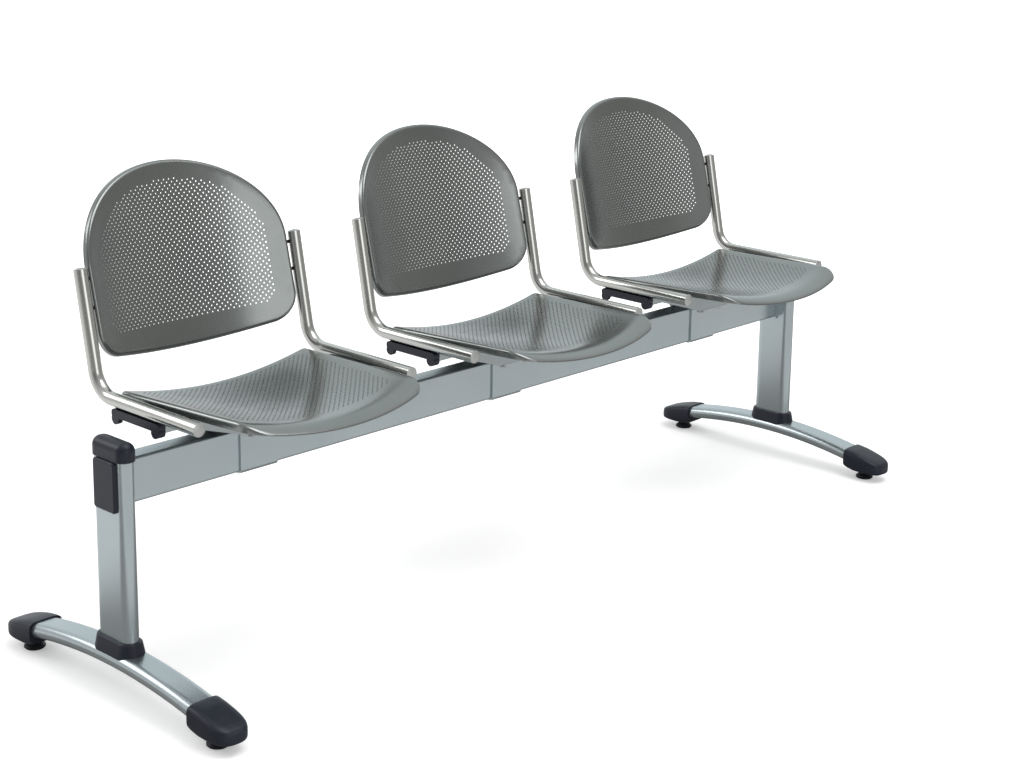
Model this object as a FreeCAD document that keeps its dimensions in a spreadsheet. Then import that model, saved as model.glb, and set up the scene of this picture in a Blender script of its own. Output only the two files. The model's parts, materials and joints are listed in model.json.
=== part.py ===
# A bench of three perforated steel seats on one beam, carried by two legs with arched feet.
# Millimetres. X runs along the beam, the sitter faces -Y, Z is up, and the floor is z = 0.
# The origin lies on the floor under the middle of the bench.
import FreeCAD, Part
import Sketcher
import math
import os

Vector = FreeCAD.Vector

doc = FreeCAD.newDocument("beam_seating")
sheet = doc.addObject("Spreadsheet::Sheet", "sizes")

# Driving dimensions

DRIVING_SIZES = [
    ("seat_pitch", 570, "middle of one seat to the middle of the next"),
    ("leg_span", 1676, "middle of one upright to the middle of the other"),
    ("glide_spread", 476, "front levelling foot to rear levelling foot"),
    ("tube_wall", 2, "wall of the legs, feet and beam"),
    ("upright_depth", 80, "flat oval upright, front to back"),
    ("upright_width", 28, "flat oval upright, along the beam"),
    ("upright_top", 392, "height of the top of the uprights"),
    ("foot_width", 52, "flat oval foot tube, along the beam"),
    ("foot_height", 25, "flat oval foot tube, up and down"),
    ("foot_crown", 63, "height of the foot tube's middle line under the upright"),
    ("foot_rise", 21, "drop of that line from the crown to the chord's ends"),
    ("foot_chord", 215, "half of the chord that the drop is measured on"),
    ("foot_reach", 222, "middle of the foot to each cut end of its tube"),
    ("beam_height", 71, "beam tube, up and down"),
    ("beam_depth", 37, "beam tube, front to back"),
    ("beam_corner", 4, "outer corner radius of the beam tube"),
    ("beam_front", -6.5, "where the beam's front face lies"),
    ("beam_bottom", 301.5, "height of the underside of the beam"),
    ("end_plate_thickness", 5, "plate welded to each end of the beam"),
    ("end_plate_height", 77, "that plate, up and down"),
    ("end_plate_depth", 46, "that plate, front to back"),
    ("leg_bolt_size", 10, "bolts through the upright into the end plate"),
    ("leg_bolt_spacing", 36, "one of those bolts to the other"),
    ("leg_bolt_head", 3.5, "height of their low heads"),
    ("top_cap_wall", 2.5, "moulded cap on the upright"),
    ("top_cap_lap", 12, "how far that cap reaches down the upright"),
    ("top_cap_crown", 16.5, "how far it stands above the upright"),
    ("top_cap_round", 14, "rounding of its top edge"),
    ("cover_height", 79, "moulded cover over the leg bolts"),
    ("cover_width", 54, "that cover, front to back"),
    ("cover_depth", 6.5, "how far it stands off the upright"),
    ("cover_bottom", 300, "height of its lower edge"),
    ("cover_corner", 6, "rounding of its outline"),
    ("cover_round", 3, "rounding of its outer edge"),
    ("cover_lip", 3, "width of its rim that lies on the upright"),
    ("collar_height", 31, "moulded boot at the foot of the upright"),
    ("collar_spread", 11, "how far the boot stands out at its foot"),
    ("collar_taper", 11, "slope of the boot's sides in degrees"),
    ("collar_round", 2.5, "rounding of its upper edge"),
    ("foot_cap_start", 204, "middle of the foot to where a foot cap begins"),
    ("foot_cap_nose", 286, "middle of the foot to the nose of a foot cap"),
    ("foot_cap_width", 61, "foot cap, along the beam"),
    ("foot_cap_bottom", 15, "height of the underside of a foot cap"),
    ("foot_cap_round", 9, "rounding of the foot cap's upper edges"),
    ("foot_cap_corner", 27, "rounding of its nose in plan"),
    ("foot_cap_heel_run", 16, "slope under its inner end, along the foot"),
    ("foot_cap_heel_rise", 14, "that slope, up and down"),
    ("foot_cap_toe_run", 18, "slope under its nose, along the foot"),
    ("foot_cap_toe_rise", 8, "that slope, up and down"),
    ("foot_cap_waist", 16, "top of the nose above its underside"),
    ("foot_cap_cover", 2.5, "how far it stands above the foot tube where it begins"),
    ("foot_cap_knee_run", 22, "from its inner end to where its top turns down to the nose"),
    ("foot_cap_knee_drop", 4, "drop of its top over that run"),
    ("glide_size", 35, "disc of a levelling foot"),
    ("glide_height", 10, "height of that disc"),
    ("stem_size", 8, "screwed stem of a levelling foot"),
    ("glide_edge", 2, "chamfer under the disc, and height of its side"),
    ("glide_sole", 3, "rubber under the stem's head, and the lip over it"),
    ("stem_collar", 2, "how far the stem's head stands out all round"),
    ("stem_top", 36, "height of the stem's upper end when it is screwed home"),
    ("insert_size", 14, "threaded insert in the foot cap"),
    ("insert_height", 16, "height of that insert"),
    ("stem_room", 3, "depth of the foot cap's hole past the stem"),
    ("bracket_length", 75, "saddle bracket, along the beam"),
    ("bracket_sheet", 3, "sheet of the saddle bracket"),
    ("bracket_flange", 29, "how far its flanges turn out"),
    ("bracket_bolt_size", 8, "bolts from its flanges into the cross channel"),
    ("bracket_bolt_spacing", 52, "one of those bolts to the next, along the beam"),
    ("channel_sheet", 2.5, "sheet of the cross channel"),
    ("channel_width", 100, "cross channel, front to back"),
    ("channel_half", 214, "middle of the channel to its cut ends"),
    ("channel_top", 57, "channel's highest face above the beam"),
    ("channel_end_depth", 19, "depth of the channel's sides at its ends"),
    ("channel_dip", 14, "how far its top dips in the middle"),
    ("channel_flat", 190, "middle of the channel to where the dip begins"),
    ("channel_knee", 165, "middle of the channel to where the sides grow deeper"),
    ("channel_foot", 48, "half the length of its feet on the saddle bracket"),
    ("lobe_size", 18, "round ends of the channel's end caps"),
    ("lobe_drop", 24, "how far the end caps hang below the channel's top"),
    ("channel_cap_bar", 13, "height of the end cap between its round ends"),
    ("channel_cap_round", 5, "corner radius of that bar"),
    ("channel_cap_lap", 7, "how far the end cap laps the channel"),
    ("channel_cap_depth", 7, "end cap's thickness past the channel"),
    ("tube_size", 22, "side tubes that carry the backrest"),
    ("side_tube_wall", 1.5, "their wall"),
    ("tube_spread", 425, "middle of one side tube to the middle of the other"),
    ("tube_front", -136.5, "where their front ends lie"),
    ("tube_run", 215, "straight run from the front end to the bend"),
    ("tube_bend", 45, "radius of the bend"),
    ("tube_lean", 11.5, "how far they lean back, in degrees"),
    ("tube_top", 631, "height of their upper ends"),
    ("plug_length", 12, "plug inside the tube"),
    ("plug_crown", 3, "how far the plugs in the tube ends stand out"),
    ("shell_sheet", 2, "sheet of the seats and backrests"),
    ("back_half_width", 197, "middle of a backrest to its edge"),
    ("back_tall", 305.5, "height of a backrest along its own slope"),
    ("back_shoulder", 150, "from its lower edge to where the dome begins"),
    ("back_corner", 46, "radius of its lower corners"),
    ("back_belly", 1480, "radius of its bowed lower edge"),
    ("back_sweep", 435, "radius that it curves round the sitter"),
    ("back_lean", 14, "how far it leans back, in degrees"),
    ("back_bottom", 470.5, "height of its lower edge"),
    ("back_seat_gap", 159.5, "where the middle of its lower edge lies"),
    ("back_rim", 13, "depth of its turned rim"),
    ("back_round", 7, "radius of the turn"),
    ("seat_rear", 99.5, "where the rear edge of a seat lies"),
    ("seat_corner_front", -174.5, "where the middles of its front corners lie"),
    ("seat_front_corner", 46, "radius of its front corners"),
    ("seat_rear_corner", 10, "radius of its rear corners"),
    ("seat_nose", -236.5, "where the middle of its front edge lies"),
    ("seat_rear_half", 186, "half its width at the rear edge"),
    ("seat_front_half", 176, "half its width at the front corners"),
    ("seat_side_rear", 445, "height of its side edge at the rear"),
    ("seat_side_front", 460, "height of its side edge at the front"),
    ("seat_dip_rear", 23, "dip between the sides at the rear edge"),
    ("seat_dip_middle", 30, "dip between the sides half way"),
    ("seat_dip_front", 22, "dip between the sides at the front edge"),
    ("seat_rim", 15, "depth of its turned rim"),
    ("seat_round", 7, "radius of the turn"),
    ("rivet_size", 4, "rivets from the backrest into its tubes"),
    ("rivet_head", 6, "head of those rivets, and the spacers under the rim"),
    ("rivet_head_height", 2, "height of that head"),
    ("rivet_low", 92, "from the backrest's lower edge to its lower rivets"),
    ("rivet_high", 138, "from the same edge to its upper rivets"),
    ("bracket_bolt_length", 16, "shank of the bolts in the saddle bracket"),
    ("stud_size", 6, "studs under the seat"),
    ("stud_spacing", 120, "one stud to the next along the beam"),
    ("stud_rows", 60, "front row of studs to the rear row"),
    ("spacer_size", 24, "rubber spacers on those studs"),
    ("fit_gap", 0.3, "clearance between pieces that slip over each other"),
    ("thread_gap", 0.08, "clearance round a screwed stem"),
]

for row, (alias, number, meaning) in enumerate(DRIVING_SIZES, start=1):
    sheet.set(f"A{row}", meaning)
    sheet.set(f"B{row}", str(number))
    sheet.setAlias(f"B{row}", alias)
doc.recompute()


class Size:
    """A size with its number and the sheet expression that gives it."""

    def __init__(self, number, text):
        self.number = float(number)
        self.text = text

    def __float__(self):
        return self.number

    def __add__(self, other):
        return combine(self, other, "+", self.number + float(other))

    def __radd__(self, other):
        return combine(other, self, "+", float(other) + self.number)

    def __sub__(self, other):
        return combine(self, other, "-", self.number - float(other))

    def __rsub__(self, other):
        return combine(other, self, "-", float(other) - self.number)

    def __mul__(self, other):
        return combine(self, other, "*", self.number * float(other))

    def __rmul__(self, other):
        return combine(other, self, "*", float(other) * self.number)

    def __truediv__(self, other):
        return combine(self, other, "/", self.number / float(other))

    def __neg__(self):
        return Size(-self.number, f"(0 - {self.text})")


def words(value):
    return value.text if isinstance(value, Size) else repr(float(value))


def combine(first, second, sign, number):
    return Size(number, f"({words(first)} {sign} {words(second)})")


def cell(alias):
    return Size(sheet.get(alias), f"sizes.{alias}")


def bind(thing, name, value):
    """Ties a property to the sheet."""
    thing.setExpression(name, words(value))


class Sizes:
    """The sheet's cells by name."""


for alias, _, _ in DRIVING_SIZES:
    setattr(Sizes, alias, cell(alias))
S = Sizes

# Sizes that follow from the driving ones

foot_radius = (S.foot_chord * S.foot_chord + S.foot_rise * S.foot_rise) / (2 * S.foot_rise)
foot_centre = S.foot_crown - foot_radius
beam_middle = S.beam_front + S.beam_depth / 2
beam_top = S.beam_bottom + S.beam_height
upright_middle = S.leg_span / 2
upright_face = S.leg_span / 2 - S.upright_width / 2
beam_length = 2 * upright_face - 2 * S.end_plate_thickness
channel_top = beam_top + S.channel_top
tube_middle_height = channel_top + S.tube_size / 2


# Drawing helpers

def new_body(name):
    body = doc.addObject("PartDesign::Body", name)
    body.Label = name
    return body


def place(thing, x=0, y=0, z=0):
    for axis, value in zip("xyz", (x, y, z)):
        bind(thing, f"Placement.Base.{axis}", value)


def turn_half(thing):
    """Turns a piece half round the upright axis."""
    thing.setExpression("Placement.Rotation.Axis.z", "1")
    thing.setExpression("Placement.Rotation.Angle", "180")


def new_sketch(body, name, plane="XY_Plane", lift=None):
    sketch = body.newObject("Sketcher::SketchObject", name)
    face = [item for item in body.Origin.OriginFeatures if item.Role == plane][0]
    sketch.AttachmentSupport = [(face, "")]
    sketch.MapMode = "FlatFace"
    if lift is not None:
        bind(sketch, "AttachmentOffset.Base.z", lift)
    return sketch


def fix_point(sketch, index, end, x, y):
    """Holds one point of a sketch at a place given by the sheet."""
    for kind, value in (("DistanceX", x), ("DistanceY", y)):
        number = sketch.addConstraint(Sketcher.Constraint(kind, -1, 1, index, end, float(value)))
        sketch.setExpression(f"Constraints[{number}]", words(value))


def fix_radius(sketch, index, radius):
    number = sketch.addConstraint(Sketcher.Constraint("Radius", index, float(radius)))
    sketch.setExpression(f"Constraints[{number}]", words(radius))


def circle(sketch, x, y, radius):
    ring = Part.Circle(Vector(float(x), float(y), 0), Vector(0, 0, 1), float(radius))
    index = sketch.addGeometry(ring)
    fix_radius(sketch, index, radius)
    fix_point(sketch, index, 3, x, y)


def belt(sketch, wheels):
    """An outline like a belt round wheels (x, y, radius), listed counter-clockwise."""
    numbers = [tuple(float(value) for value in wheel) for wheel in wheels]
    count = len(numbers)
    normals = []
    for (x1, y1, r1), (x2, y2, r2) in zip(numbers, numbers[1:] + numbers[:1]):
        span = math.hypot(x2 - x1, y2 - y1)
        along = ((x2 - x1) / span, (y2 - y1) / span)
        tilt = -(r2 - r1) / span
        side = math.sqrt(1 - tilt * tilt)
        normals.append((tilt * along[0] + side * along[1], tilt * along[1] - side * along[0]))
    arcs = []
    lines = []
    for index, (x, y, radius) in enumerate(numbers):
        start = math.atan2(normals[index - 1][1], normals[index - 1][0])
        stop = math.atan2(normals[index][1], normals[index][0])
        if stop <= start:
            stop += 2 * math.pi
        ring = Part.Circle(Vector(x, y, 0), Vector(0, 0, 1), radius)
        arcs.append(sketch.addGeometry(Part.ArcOfCircle(ring, start, stop)))
    for index in range(count):
        x1, y1, r1 = numbers[index]
        x2, y2, r2 = numbers[(index + 1) % count]
        nx, ny = normals[index]
        first = Vector(x1 + r1 * nx, y1 + r1 * ny, 0)
        second = Vector(x2 + r2 * nx, y2 + r2 * ny, 0)
        lines.append(sketch.addGeometry(Part.LineSegment(first, second)))
    for index in range(count):
        after = arcs[(index + 1) % count]
        sketch.addConstraint(Sketcher.Constraint("Tangent", arcs[index], 2, lines[index], 1))
        sketch.addConstraint(Sketcher.Constraint("Tangent", lines[index], 2, after, 1))
    for index, wheel in zip(arcs, wheels):
        fix_point(sketch, index, 3, wheel[0], wheel[1])
        fix_radius(sketch, index, wheel[2])


def flat_oval(sketch, long_side, short_side, upright=True, x=0, y=0):
    """Two half circles joined by straight sides."""
    radius = short_side / 2
    reach = long_side / 2 - radius
    if upright:
        belt(sketch, [(x, y - reach, radius), (x, y + reach, radius)])
    else:
        belt(sketch, [(x - reach, y, radius), (x + reach, y, radius)])


def rounded_box(sketch, width, height, radius, x=0, y=0):
    across = width / 2 - radius
    up = height / 2 - radius
    belt(sketch, [
        (x - across, y - up, radius),
        (x + across, y - up, radius),
        (x + across, y + up, radius),
        (x - across, y + up, radius),
    ])


def outline(sketch, points):
    """A closed outline of points (x, y), or (x, y, radius) where an arc leaves the point.
    A positive radius swells to the right of the way round, a negative one to the left."""
    spots = [Vector(float(point[0]), float(point[1]), 0) for point in points]
    count = len(points)
    edges = []
    for index, point in enumerate(points):
        first = spots[index]
        second = spots[(index + 1) % count]
        if len(point) == 2:
            edges.append(sketch.addGeometry(Part.LineSegment(first, second)))
            continue
        radius = float(point[2])
        chord = second - first
        right = Vector(chord.y, -chord.x, 0).normalize()
        half = chord.Length / 2
        rise = abs(radius) - math.sqrt(radius * radius - half * half)
        middle = (first + second) / 2 + right * math.copysign(rise, radius)
        edges.append(sketch.addGeometry(Part.Arc(first, middle, second)))
    for index, point in enumerate(points):
        # an arc is kept counter-clockwise, so one that swells to the left runs backwards
        ends = [(1, 2), (2, 1)]
        mine = ends[0] if len(point) == 2 or float(point[2]) > 0 else ends[1]
        after = points[(index + 1) % count]
        next_start = 1 if len(after) == 2 or float(after[2]) > 0 else 2
        next_edge = edges[(index + 1) % count]
        joint = Sketcher.Constraint("Coincident", edges[index], mine[1], next_edge, next_start)
        sketch.addConstraint(joint)
        fix_point(sketch, edges[index], mine[0], point[0], point[1])
        if len(point) == 3:
            fix_radius(sketch, edges[index], abs_size(point[2]))


def abs_size(value):
    return -value if float(value) < 0 else value


def pad(body, sketch, length, both_ways=False, taper=None, cut=False, backwards=False):
    kind = "PartDesign::Pocket" if cut else "PartDesign::Pad"
    feature = body.newObject(kind, sketch.Name + ("_cut" if cut else "_pad"))
    feature.Profile = sketch
    if length is None:
        feature.Type = "ThroughAll"
    else:
        bind(feature, "Length", length)
    if both_ways:
        feature.SideType = "Symmetric"
    feature.Reversed = backwards
    if taper is not None:
        bind(feature, "TaperAngle", taper)
    return feature


def cut(body, sketch, length=None, both_ways=False, backwards=False):
    return pad(body, sketch, length, both_ways, None, True, backwards)


def spin(body, sketch, axis="Z_Axis", angle=360, away=False, both_ways=False, backwards=False):
    """Turns a sketch round one of the body's own axes, to add material or take it away."""
    kind = "PartDesign::Groove" if away else "PartDesign::Revolution"
    feature = body.newObject(kind, sketch.Name + ("_groove" if away else "_turned"))
    feature.Profile = sketch
    line = [item for item in body.Origin.OriginFeatures if item.Role == axis][0]
    feature.ReferenceAxis = (line, [""])
    bind(feature, "Angle", angle)
    feature.Midplane = both_ways
    feature.Reversed = backwards
    return feature


def round_edges(body, radius, wanted):
    """Rounds the edges of the body's last feature that the test wants."""
    doc.recompute()
    base = body.Tip
    edges = base.Shape.Edges
    names = [f"Edge{number}" for number, edge in enumerate(edges, start=1) if wanted(edge)]
    feature = body.newObject("PartDesign::Fillet", body.Name + "_rounds")
    feature.Base = (base, names)
    bind(feature, "Radius", radius)
    return feature


def at_height(edge, height):
    """Does the edge lie wholly at one height of its body?"""
    box = edge.BoundBox
    return abs(box.ZMin - float(height)) < 0.01 and abs(box.ZMax - float(height)) < 0.01


def at_depth(edge, depth):
    """Does the edge lie wholly at one X of its body?"""
    box = edge.BoundBox
    return abs(box.XMin - float(depth)) < 0.01 and abs(box.XMax - float(depth)) < 0.01


parts = []


def keep(thing):
    parts.append(thing)
    return thing


# Beam

def make_beam():
    body = new_body("beam")
    sketch = new_sketch(body, "beam_section", "YZ_Plane")
    rounded_box(sketch, S.beam_depth, S.beam_height, S.beam_corner)
    inner_corner = S.beam_corner - S.tube_wall
    inner_depth = S.beam_depth - 2 * S.tube_wall
    rounded_box(sketch, inner_depth, S.beam_height - 2 * S.tube_wall, inner_corner)
    pad(body, sketch, beam_length, both_ways=True)
    place(body, 0, beam_middle, S.beam_bottom + S.beam_height / 2)
    return keep(body)


def make_end_plate(name, side):
    """Plate that closes an end of the beam and takes the leg bolts."""
    body = new_body(name)
    sketch = new_sketch(body, name + "_face", "YZ_Plane")
    rounded_box(sketch, S.end_plate_depth, S.end_plate_height, S.beam_corner)
    hole = S.leg_bolt_size / 2 + S.fit_gap
    for up in (-1, 1):
        circle(sketch, 0, up * S.leg_bolt_spacing / 2, hole)
    pad(body, sketch, S.end_plate_thickness, both_ways=True)
    middle = upright_face - S.end_plate_thickness / 2
    place(body, side * middle, beam_middle, S.beam_bottom + S.beam_height / 2)
    return keep(body)


# Legs

def make_upright(name, side):
    """Flat oval tube from the foot to the beam, cut to the foot's arch, drilled for the bolts."""
    body = new_body(name)
    sketch = new_sketch(body, name + "_section", "XY_Plane", foot_radius)
    flat_oval(sketch, S.upright_depth, S.upright_width)
    inner_depth = S.upright_depth - 2 * S.tube_wall
    flat_oval(sketch, inner_depth, S.upright_width - 2 * S.tube_wall)
    pad(body, sketch, S.upright_top - S.foot_crown)
    arch = new_sketch(body, name + "_arch", "YZ_Plane")
    circle(arch, 0, 0, foot_radius + S.foot_height / 2)
    cut(body, arch, S.upright_width * 2, both_ways=True)
    holes = new_sketch(body, name + "_holes", "YZ_Plane")
    for up in (-1, 1):
        height = S.beam_bottom + S.beam_height / 2 + up * S.leg_bolt_spacing / 2 - foot_centre
        circle(holes, beam_middle, height, S.leg_bolt_size / 2 + S.fit_gap)
    cut(body, holes, S.upright_width * 2, both_ways=True)
    place(body, side * upright_middle, 0, foot_centre)
    return keep(body)


def foot_section(sketch, grow=0):
    flat_oval(sketch, S.foot_width + grow, S.foot_height + grow, upright=False, y=foot_radius)


def make_foot_tube(name, side):
    """Flat oval tube bent to an arch, turned about the arch's centre."""
    body = new_body(name)
    sketch = new_sketch(body, name + "_section", "XZ_Plane")
    foot_section(sketch)
    foot_section(sketch, -2 * S.tube_wall)
    ratio = words(S.foot_reach / foot_radius)
    sweep = Size(2 * math.degrees(math.asin(float(S.foot_reach / foot_radius))), f"(2 * asin({ratio}))")
    spin(body, sketch, "X_Axis", sweep, both_ways=True)
    place(body, side * upright_middle, 0, foot_centre)
    return keep(body)


def make_collar(name, side):
    """Moulded boot that hides the weld of the upright on the foot."""
    body = new_body(name)
    sketch = new_sketch(body, name + "_foot", "XY_Plane", foot_radius)
    spread = 2 * S.collar_spread
    flat_oval(sketch, S.upright_depth + spread, S.upright_width + spread)
    pad(body, sketch, S.collar_height, taper=-S.collar_taper)
    round_edges(body, S.collar_round, lambda edge: at_height(edge, foot_radius + S.collar_height))
    saddle = new_sketch(body, name + "_saddle", "XZ_Plane")
    foot_section(saddle)
    spin(body, saddle, "X_Axis", 20, away=True, both_ways=True)
    hole = new_sketch(body, name + "_hole", "XY_Plane", foot_radius)
    gap = 2 * S.fit_gap
    flat_oval(hole, S.upright_depth + gap, S.upright_width + gap)
    cut(body, hole, S.collar_height * 2, both_ways=True)
    place(body, side * upright_middle, 0, foot_centre)
    return keep(body)


def make_top_cap(name, side):
    """Domed cap over the upright's open end."""
    body = new_body(name)
    sketch = new_sketch(body, name + "_outline")
    wall = 2 * S.top_cap_wall
    flat_oval(sketch, S.upright_depth + wall, S.upright_width + wall)
    height = S.top_cap_lap + S.top_cap_crown
    pad(body, sketch, height)
    round_edges(body, S.top_cap_round, lambda edge: at_height(edge, height))
    socket = new_sketch(body, name + "_socket")
    gap = 2 * S.fit_gap
    flat_oval(socket, S.upright_depth + gap, S.upright_width + gap)
    cut(body, socket, S.top_cap_lap, backwards=True)
    place(body, side * upright_middle, 0, S.upright_top - S.top_cap_lap)
    return keep(body)


def make_side_cover(name, side):
    """Shallow moulded box over the bolt heads on the outside of the upright."""
    body = new_body(name)
    sketch = new_sketch(body, name + "_outline", "YZ_Plane")
    rounded_box(sketch, S.cover_width, S.cover_height, S.cover_corner)
    pad(body, sketch, S.cover_depth)
    round_edges(body, S.cover_round, lambda edge: at_depth(edge, S.cover_depth))
    hollow = new_sketch(body, name + "_hollow", "YZ_Plane")
    lip = 2 * S.cover_lip
    rounded_box(hollow, S.cover_width - lip, S.cover_height - lip, S.cover_corner - S.cover_lip)
    cut(body, hollow, S.cover_depth - S.top_cap_wall, backwards=True)
    edge = upright_middle + S.upright_width / 2
    place(body, side * edge, 0, S.cover_bottom + S.cover_height / 2)
    if side < 0:
        turn_half(body)
    return keep(body)


# Feet

def make_foot_cap(name, side, way):
    """Moulded shoe on an end of the foot tube, with the boss for its levelling foot."""
    body = new_body(name)
    low = S.foot_cap_bottom - foot_centre
    sketch = new_sketch(body, name + "_side", "YZ_Plane")
    drop = S.foot_cap_start * S.foot_cap_start / (2 * foot_radius)
    start_top = foot_radius + S.foot_height / 2 + S.foot_cap_cover - drop
    outline(sketch, [
        (S.foot_cap_start, low + S.foot_cap_heel_rise),
        (S.foot_cap_start + S.foot_cap_heel_run, low),
        (S.foot_cap_nose - S.foot_cap_toe_run, low),
        (S.foot_cap_nose, low + S.foot_cap_toe_rise),
        (S.foot_cap_nose, low + S.foot_cap_waist),
        (S.foot_cap_start + S.foot_cap_knee_run, start_top - S.foot_cap_knee_drop),
        (S.foot_cap_start, start_top),
    ])
    pad(body, sketch, S.foot_cap_width, both_ways=True)
    nose = S.foot_cap_nose

    def is_nose(edge):
        box = edge.BoundBox
        return box.YMin > float(nose) - 0.01 and box.XLength < 0.01

    round_edges(body, S.foot_cap_corner, is_nose)
    waist = float(low + S.foot_cap_waist)
    toe = float(low + S.foot_cap_toe_rise)
    heel = float(S.foot_cap_start)

    def is_upper(edge):
        box = edge.BoundBox
        return box.ZMax > waist + 0.5 and box.ZMin > toe - 4 and box.YMax > heel + 1

    round_edges(body, S.foot_cap_round, is_upper)
    socket = new_sketch(body, name + "_socket", "XZ_Plane")
    foot_section(socket, 2 * S.fit_gap)
    ratio = S.foot_reach / foot_radius
    sweep = Size(math.degrees(math.asin(float(ratio))), f"asin({words(ratio)})")
    spin(body, socket, "X_Axis", sweep, away=True, backwards=True)
    hole = new_sketch(body, name + "_hole", "XY_Plane", low)
    circle(hole, 0, S.glide_spread / 2, S.insert_size / 2)
    cut(body, hole, S.stem_top - S.foot_cap_bottom + S.stem_room, backwards=True)
    place(body, side * upright_middle, 0, foot_centre)
    if way < 0:
        turn_half(body)
    return keep(body)


def make_glide_pad(name, side, way):
    """Round foot that swivels on the head of its stem."""
    body = new_body(name)
    sketch = new_sketch(body, name + "_half", "XZ_Plane")
    outer = S.glide_size / 2
    edge = S.glide_edge
    neck = S.stem_size / 2 + S.thread_gap
    head = S.stem_size / 2 + S.stem_collar + S.fit_gap
    outline(sketch, [
        (0, 0),
        (outer - edge, 0),
        (outer, edge),
        (outer, 2 * edge),
        (outer - 2.5 * edge, S.glide_height - edge / 2),
        (outer - 3.5 * edge, S.glide_height),
        (neck, S.glide_height),
        (neck, S.glide_height - S.glide_sole),
        (head, S.glide_height - S.glide_sole),
        (head, S.glide_sole),
        (0, S.glide_sole),
    ])
    spin(body, sketch)
    place(body, side * upright_middle, way * S.glide_spread / 2, 0)
    return keep(body)


def make_glide_stem(name, side, way):
    """Screwed stem with a round head caught in the pad."""
    body = new_body(name)
    sketch = new_sketch(body, name + "_half", "XZ_Plane")
    shank = S.stem_size / 2
    head = shank + S.stem_collar
    low = S.glide_sole + S.fit_gap
    high = S.glide_height - S.glide_sole - S.fit_gap
    point = S.stem_size / 8
    outline(sketch, [
        (0, low),
        (head, low),
        (head, high),
        (shank, high),
        (shank, S.stem_top - point),
        (shank - point, S.stem_top),
        (0, S.stem_top),
    ])
    spin(body, sketch)
    place(body, side * upright_middle, way * S.glide_spread / 2, 0)
    return keep(body)


def group(name, members):
    """Several like solids kept as one node."""
    bundle = doc.addObject("Part::Compound", name)
    bundle.Label = name
    bundle.Links = members
    return keep(bundle)


def make_insert(name, side, way):
    """Threaded bush in the foot cap."""
    bush = doc.addObject("Part::Cylinder", name + "_bush")
    bind(bush, "Radius", S.insert_size / 2)
    bind(bush, "Height", S.insert_height)
    bore = doc.addObject("Part::Cylinder", name + "_bore")
    bind(bore, "Radius", S.stem_size / 2 + S.thread_gap)
    bind(bore, "Height", S.insert_height)
    ring = doc.addObject("Part::Cut", name)
    ring.Base = bush
    ring.Tool = bore
    place(ring, side * upright_middle, way * S.glide_spread / 2, S.foot_cap_bottom)
    return ring


# Hexagon heads and nuts, as shares of the thread they belong to
HEX_RADIUS = 0.94
HEAD_HEIGHT = 0.65
NUT_HEIGHT = 0.8


def make_bolt(name, size, length, head_height):
    """Hexagon bolt along its own Z: the head below z = 0, the shank above it."""
    shank = doc.addObject("Part::Cylinder", name + "_shank")
    bind(shank, "Radius", size / 2)
    bind(shank, "Height", length)
    block = doc.addObject("Part::Prism", name + "_head")
    block.Polygon = 6
    bind(block, "Circumradius", size * HEX_RADIUS)
    bind(block, "Height", head_height)
    bind(block, "Placement.Base.z", -head_height)
    bolt = doc.addObject("Part::Fuse", name)
    bolt.Base = shank
    bolt.Tool = block
    return bolt


def make_nut(name, size):
    """Hexagon nut along its own Z, seated at z = 0."""
    block = doc.addObject("Part::Prism", name + "_block")
    block.Polygon = 6
    bind(block, "Circumradius", size * HEX_RADIUS)
    bind(block, "Height", size * NUT_HEIGHT)
    bore = doc.addObject("Part::Cylinder", name + "_bore")
    bind(bore, "Radius", size / 2)
    bind(bore, "Height", size * NUT_HEIGHT)
    nut = doc.addObject("Part::Cut", name)
    nut.Base = block
    nut.Tool = bore
    return nut


def lay_along_x(thing, side):
    """Turns a piece that stands on Z so that it points to +X (side 1) or -X (side -1)."""
    thing.setExpression("Placement.Rotation.Axis.y", "1")
    thing.setExpression("Placement.Rotation.Axis.z", "0")
    thing.setExpression("Placement.Rotation.Angle", str(90 * side))


# Seat units

def make_bracket(name, index):
    """Saddle of bent sheet under the beam, with a flange turned out on each side."""
    body = new_body(name)
    sketch = new_sketch(body, name + "_bend", "YZ_Plane")
    inner = S.beam_depth / 2
    outer = inner + S.bracket_sheet
    reach = outer + S.bracket_flange
    top = S.beam_height
    under = top - S.bracket_sheet
    outline(sketch, [
        (-reach, top),
        (-reach, under),
        (-outer, under),
        (-outer, -S.bracket_sheet),
        (outer, -S.bracket_sheet),
        (outer, under),
        (reach, under),
        (reach, top),
        (inner, top),
        (inner, 0),
        (-inner, 0),
        (-inner, top),
    ])
    pad(body, sketch, S.bracket_length, both_ways=True)
    radius = S.beam_corner + S.bracket_sheet
    round_edges(body, radius, lambda edge: at_height(edge, -S.bracket_sheet) and edge.BoundBox.XLength > 1)
    round_edges(body, S.beam_corner, lambda edge: at_height(edge, 0) and edge.BoundBox.XLength > 1)
    holes = new_sketch(body, name + "_holes", "XY_Plane", under)
    row = outer + S.bracket_flange / 2
    for x in (-1, 1):
        for y in (-1, 1):
            circle(holes, x * S.bracket_bolt_spacing / 2, y * row, S.bracket_bolt_size / 2 + S.fit_gap)
    cut(body, holes, S.bracket_sheet, backwards=True)
    place(body, index * S.seat_pitch, beam_middle, S.beam_bottom)
    return keep(body)


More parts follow.
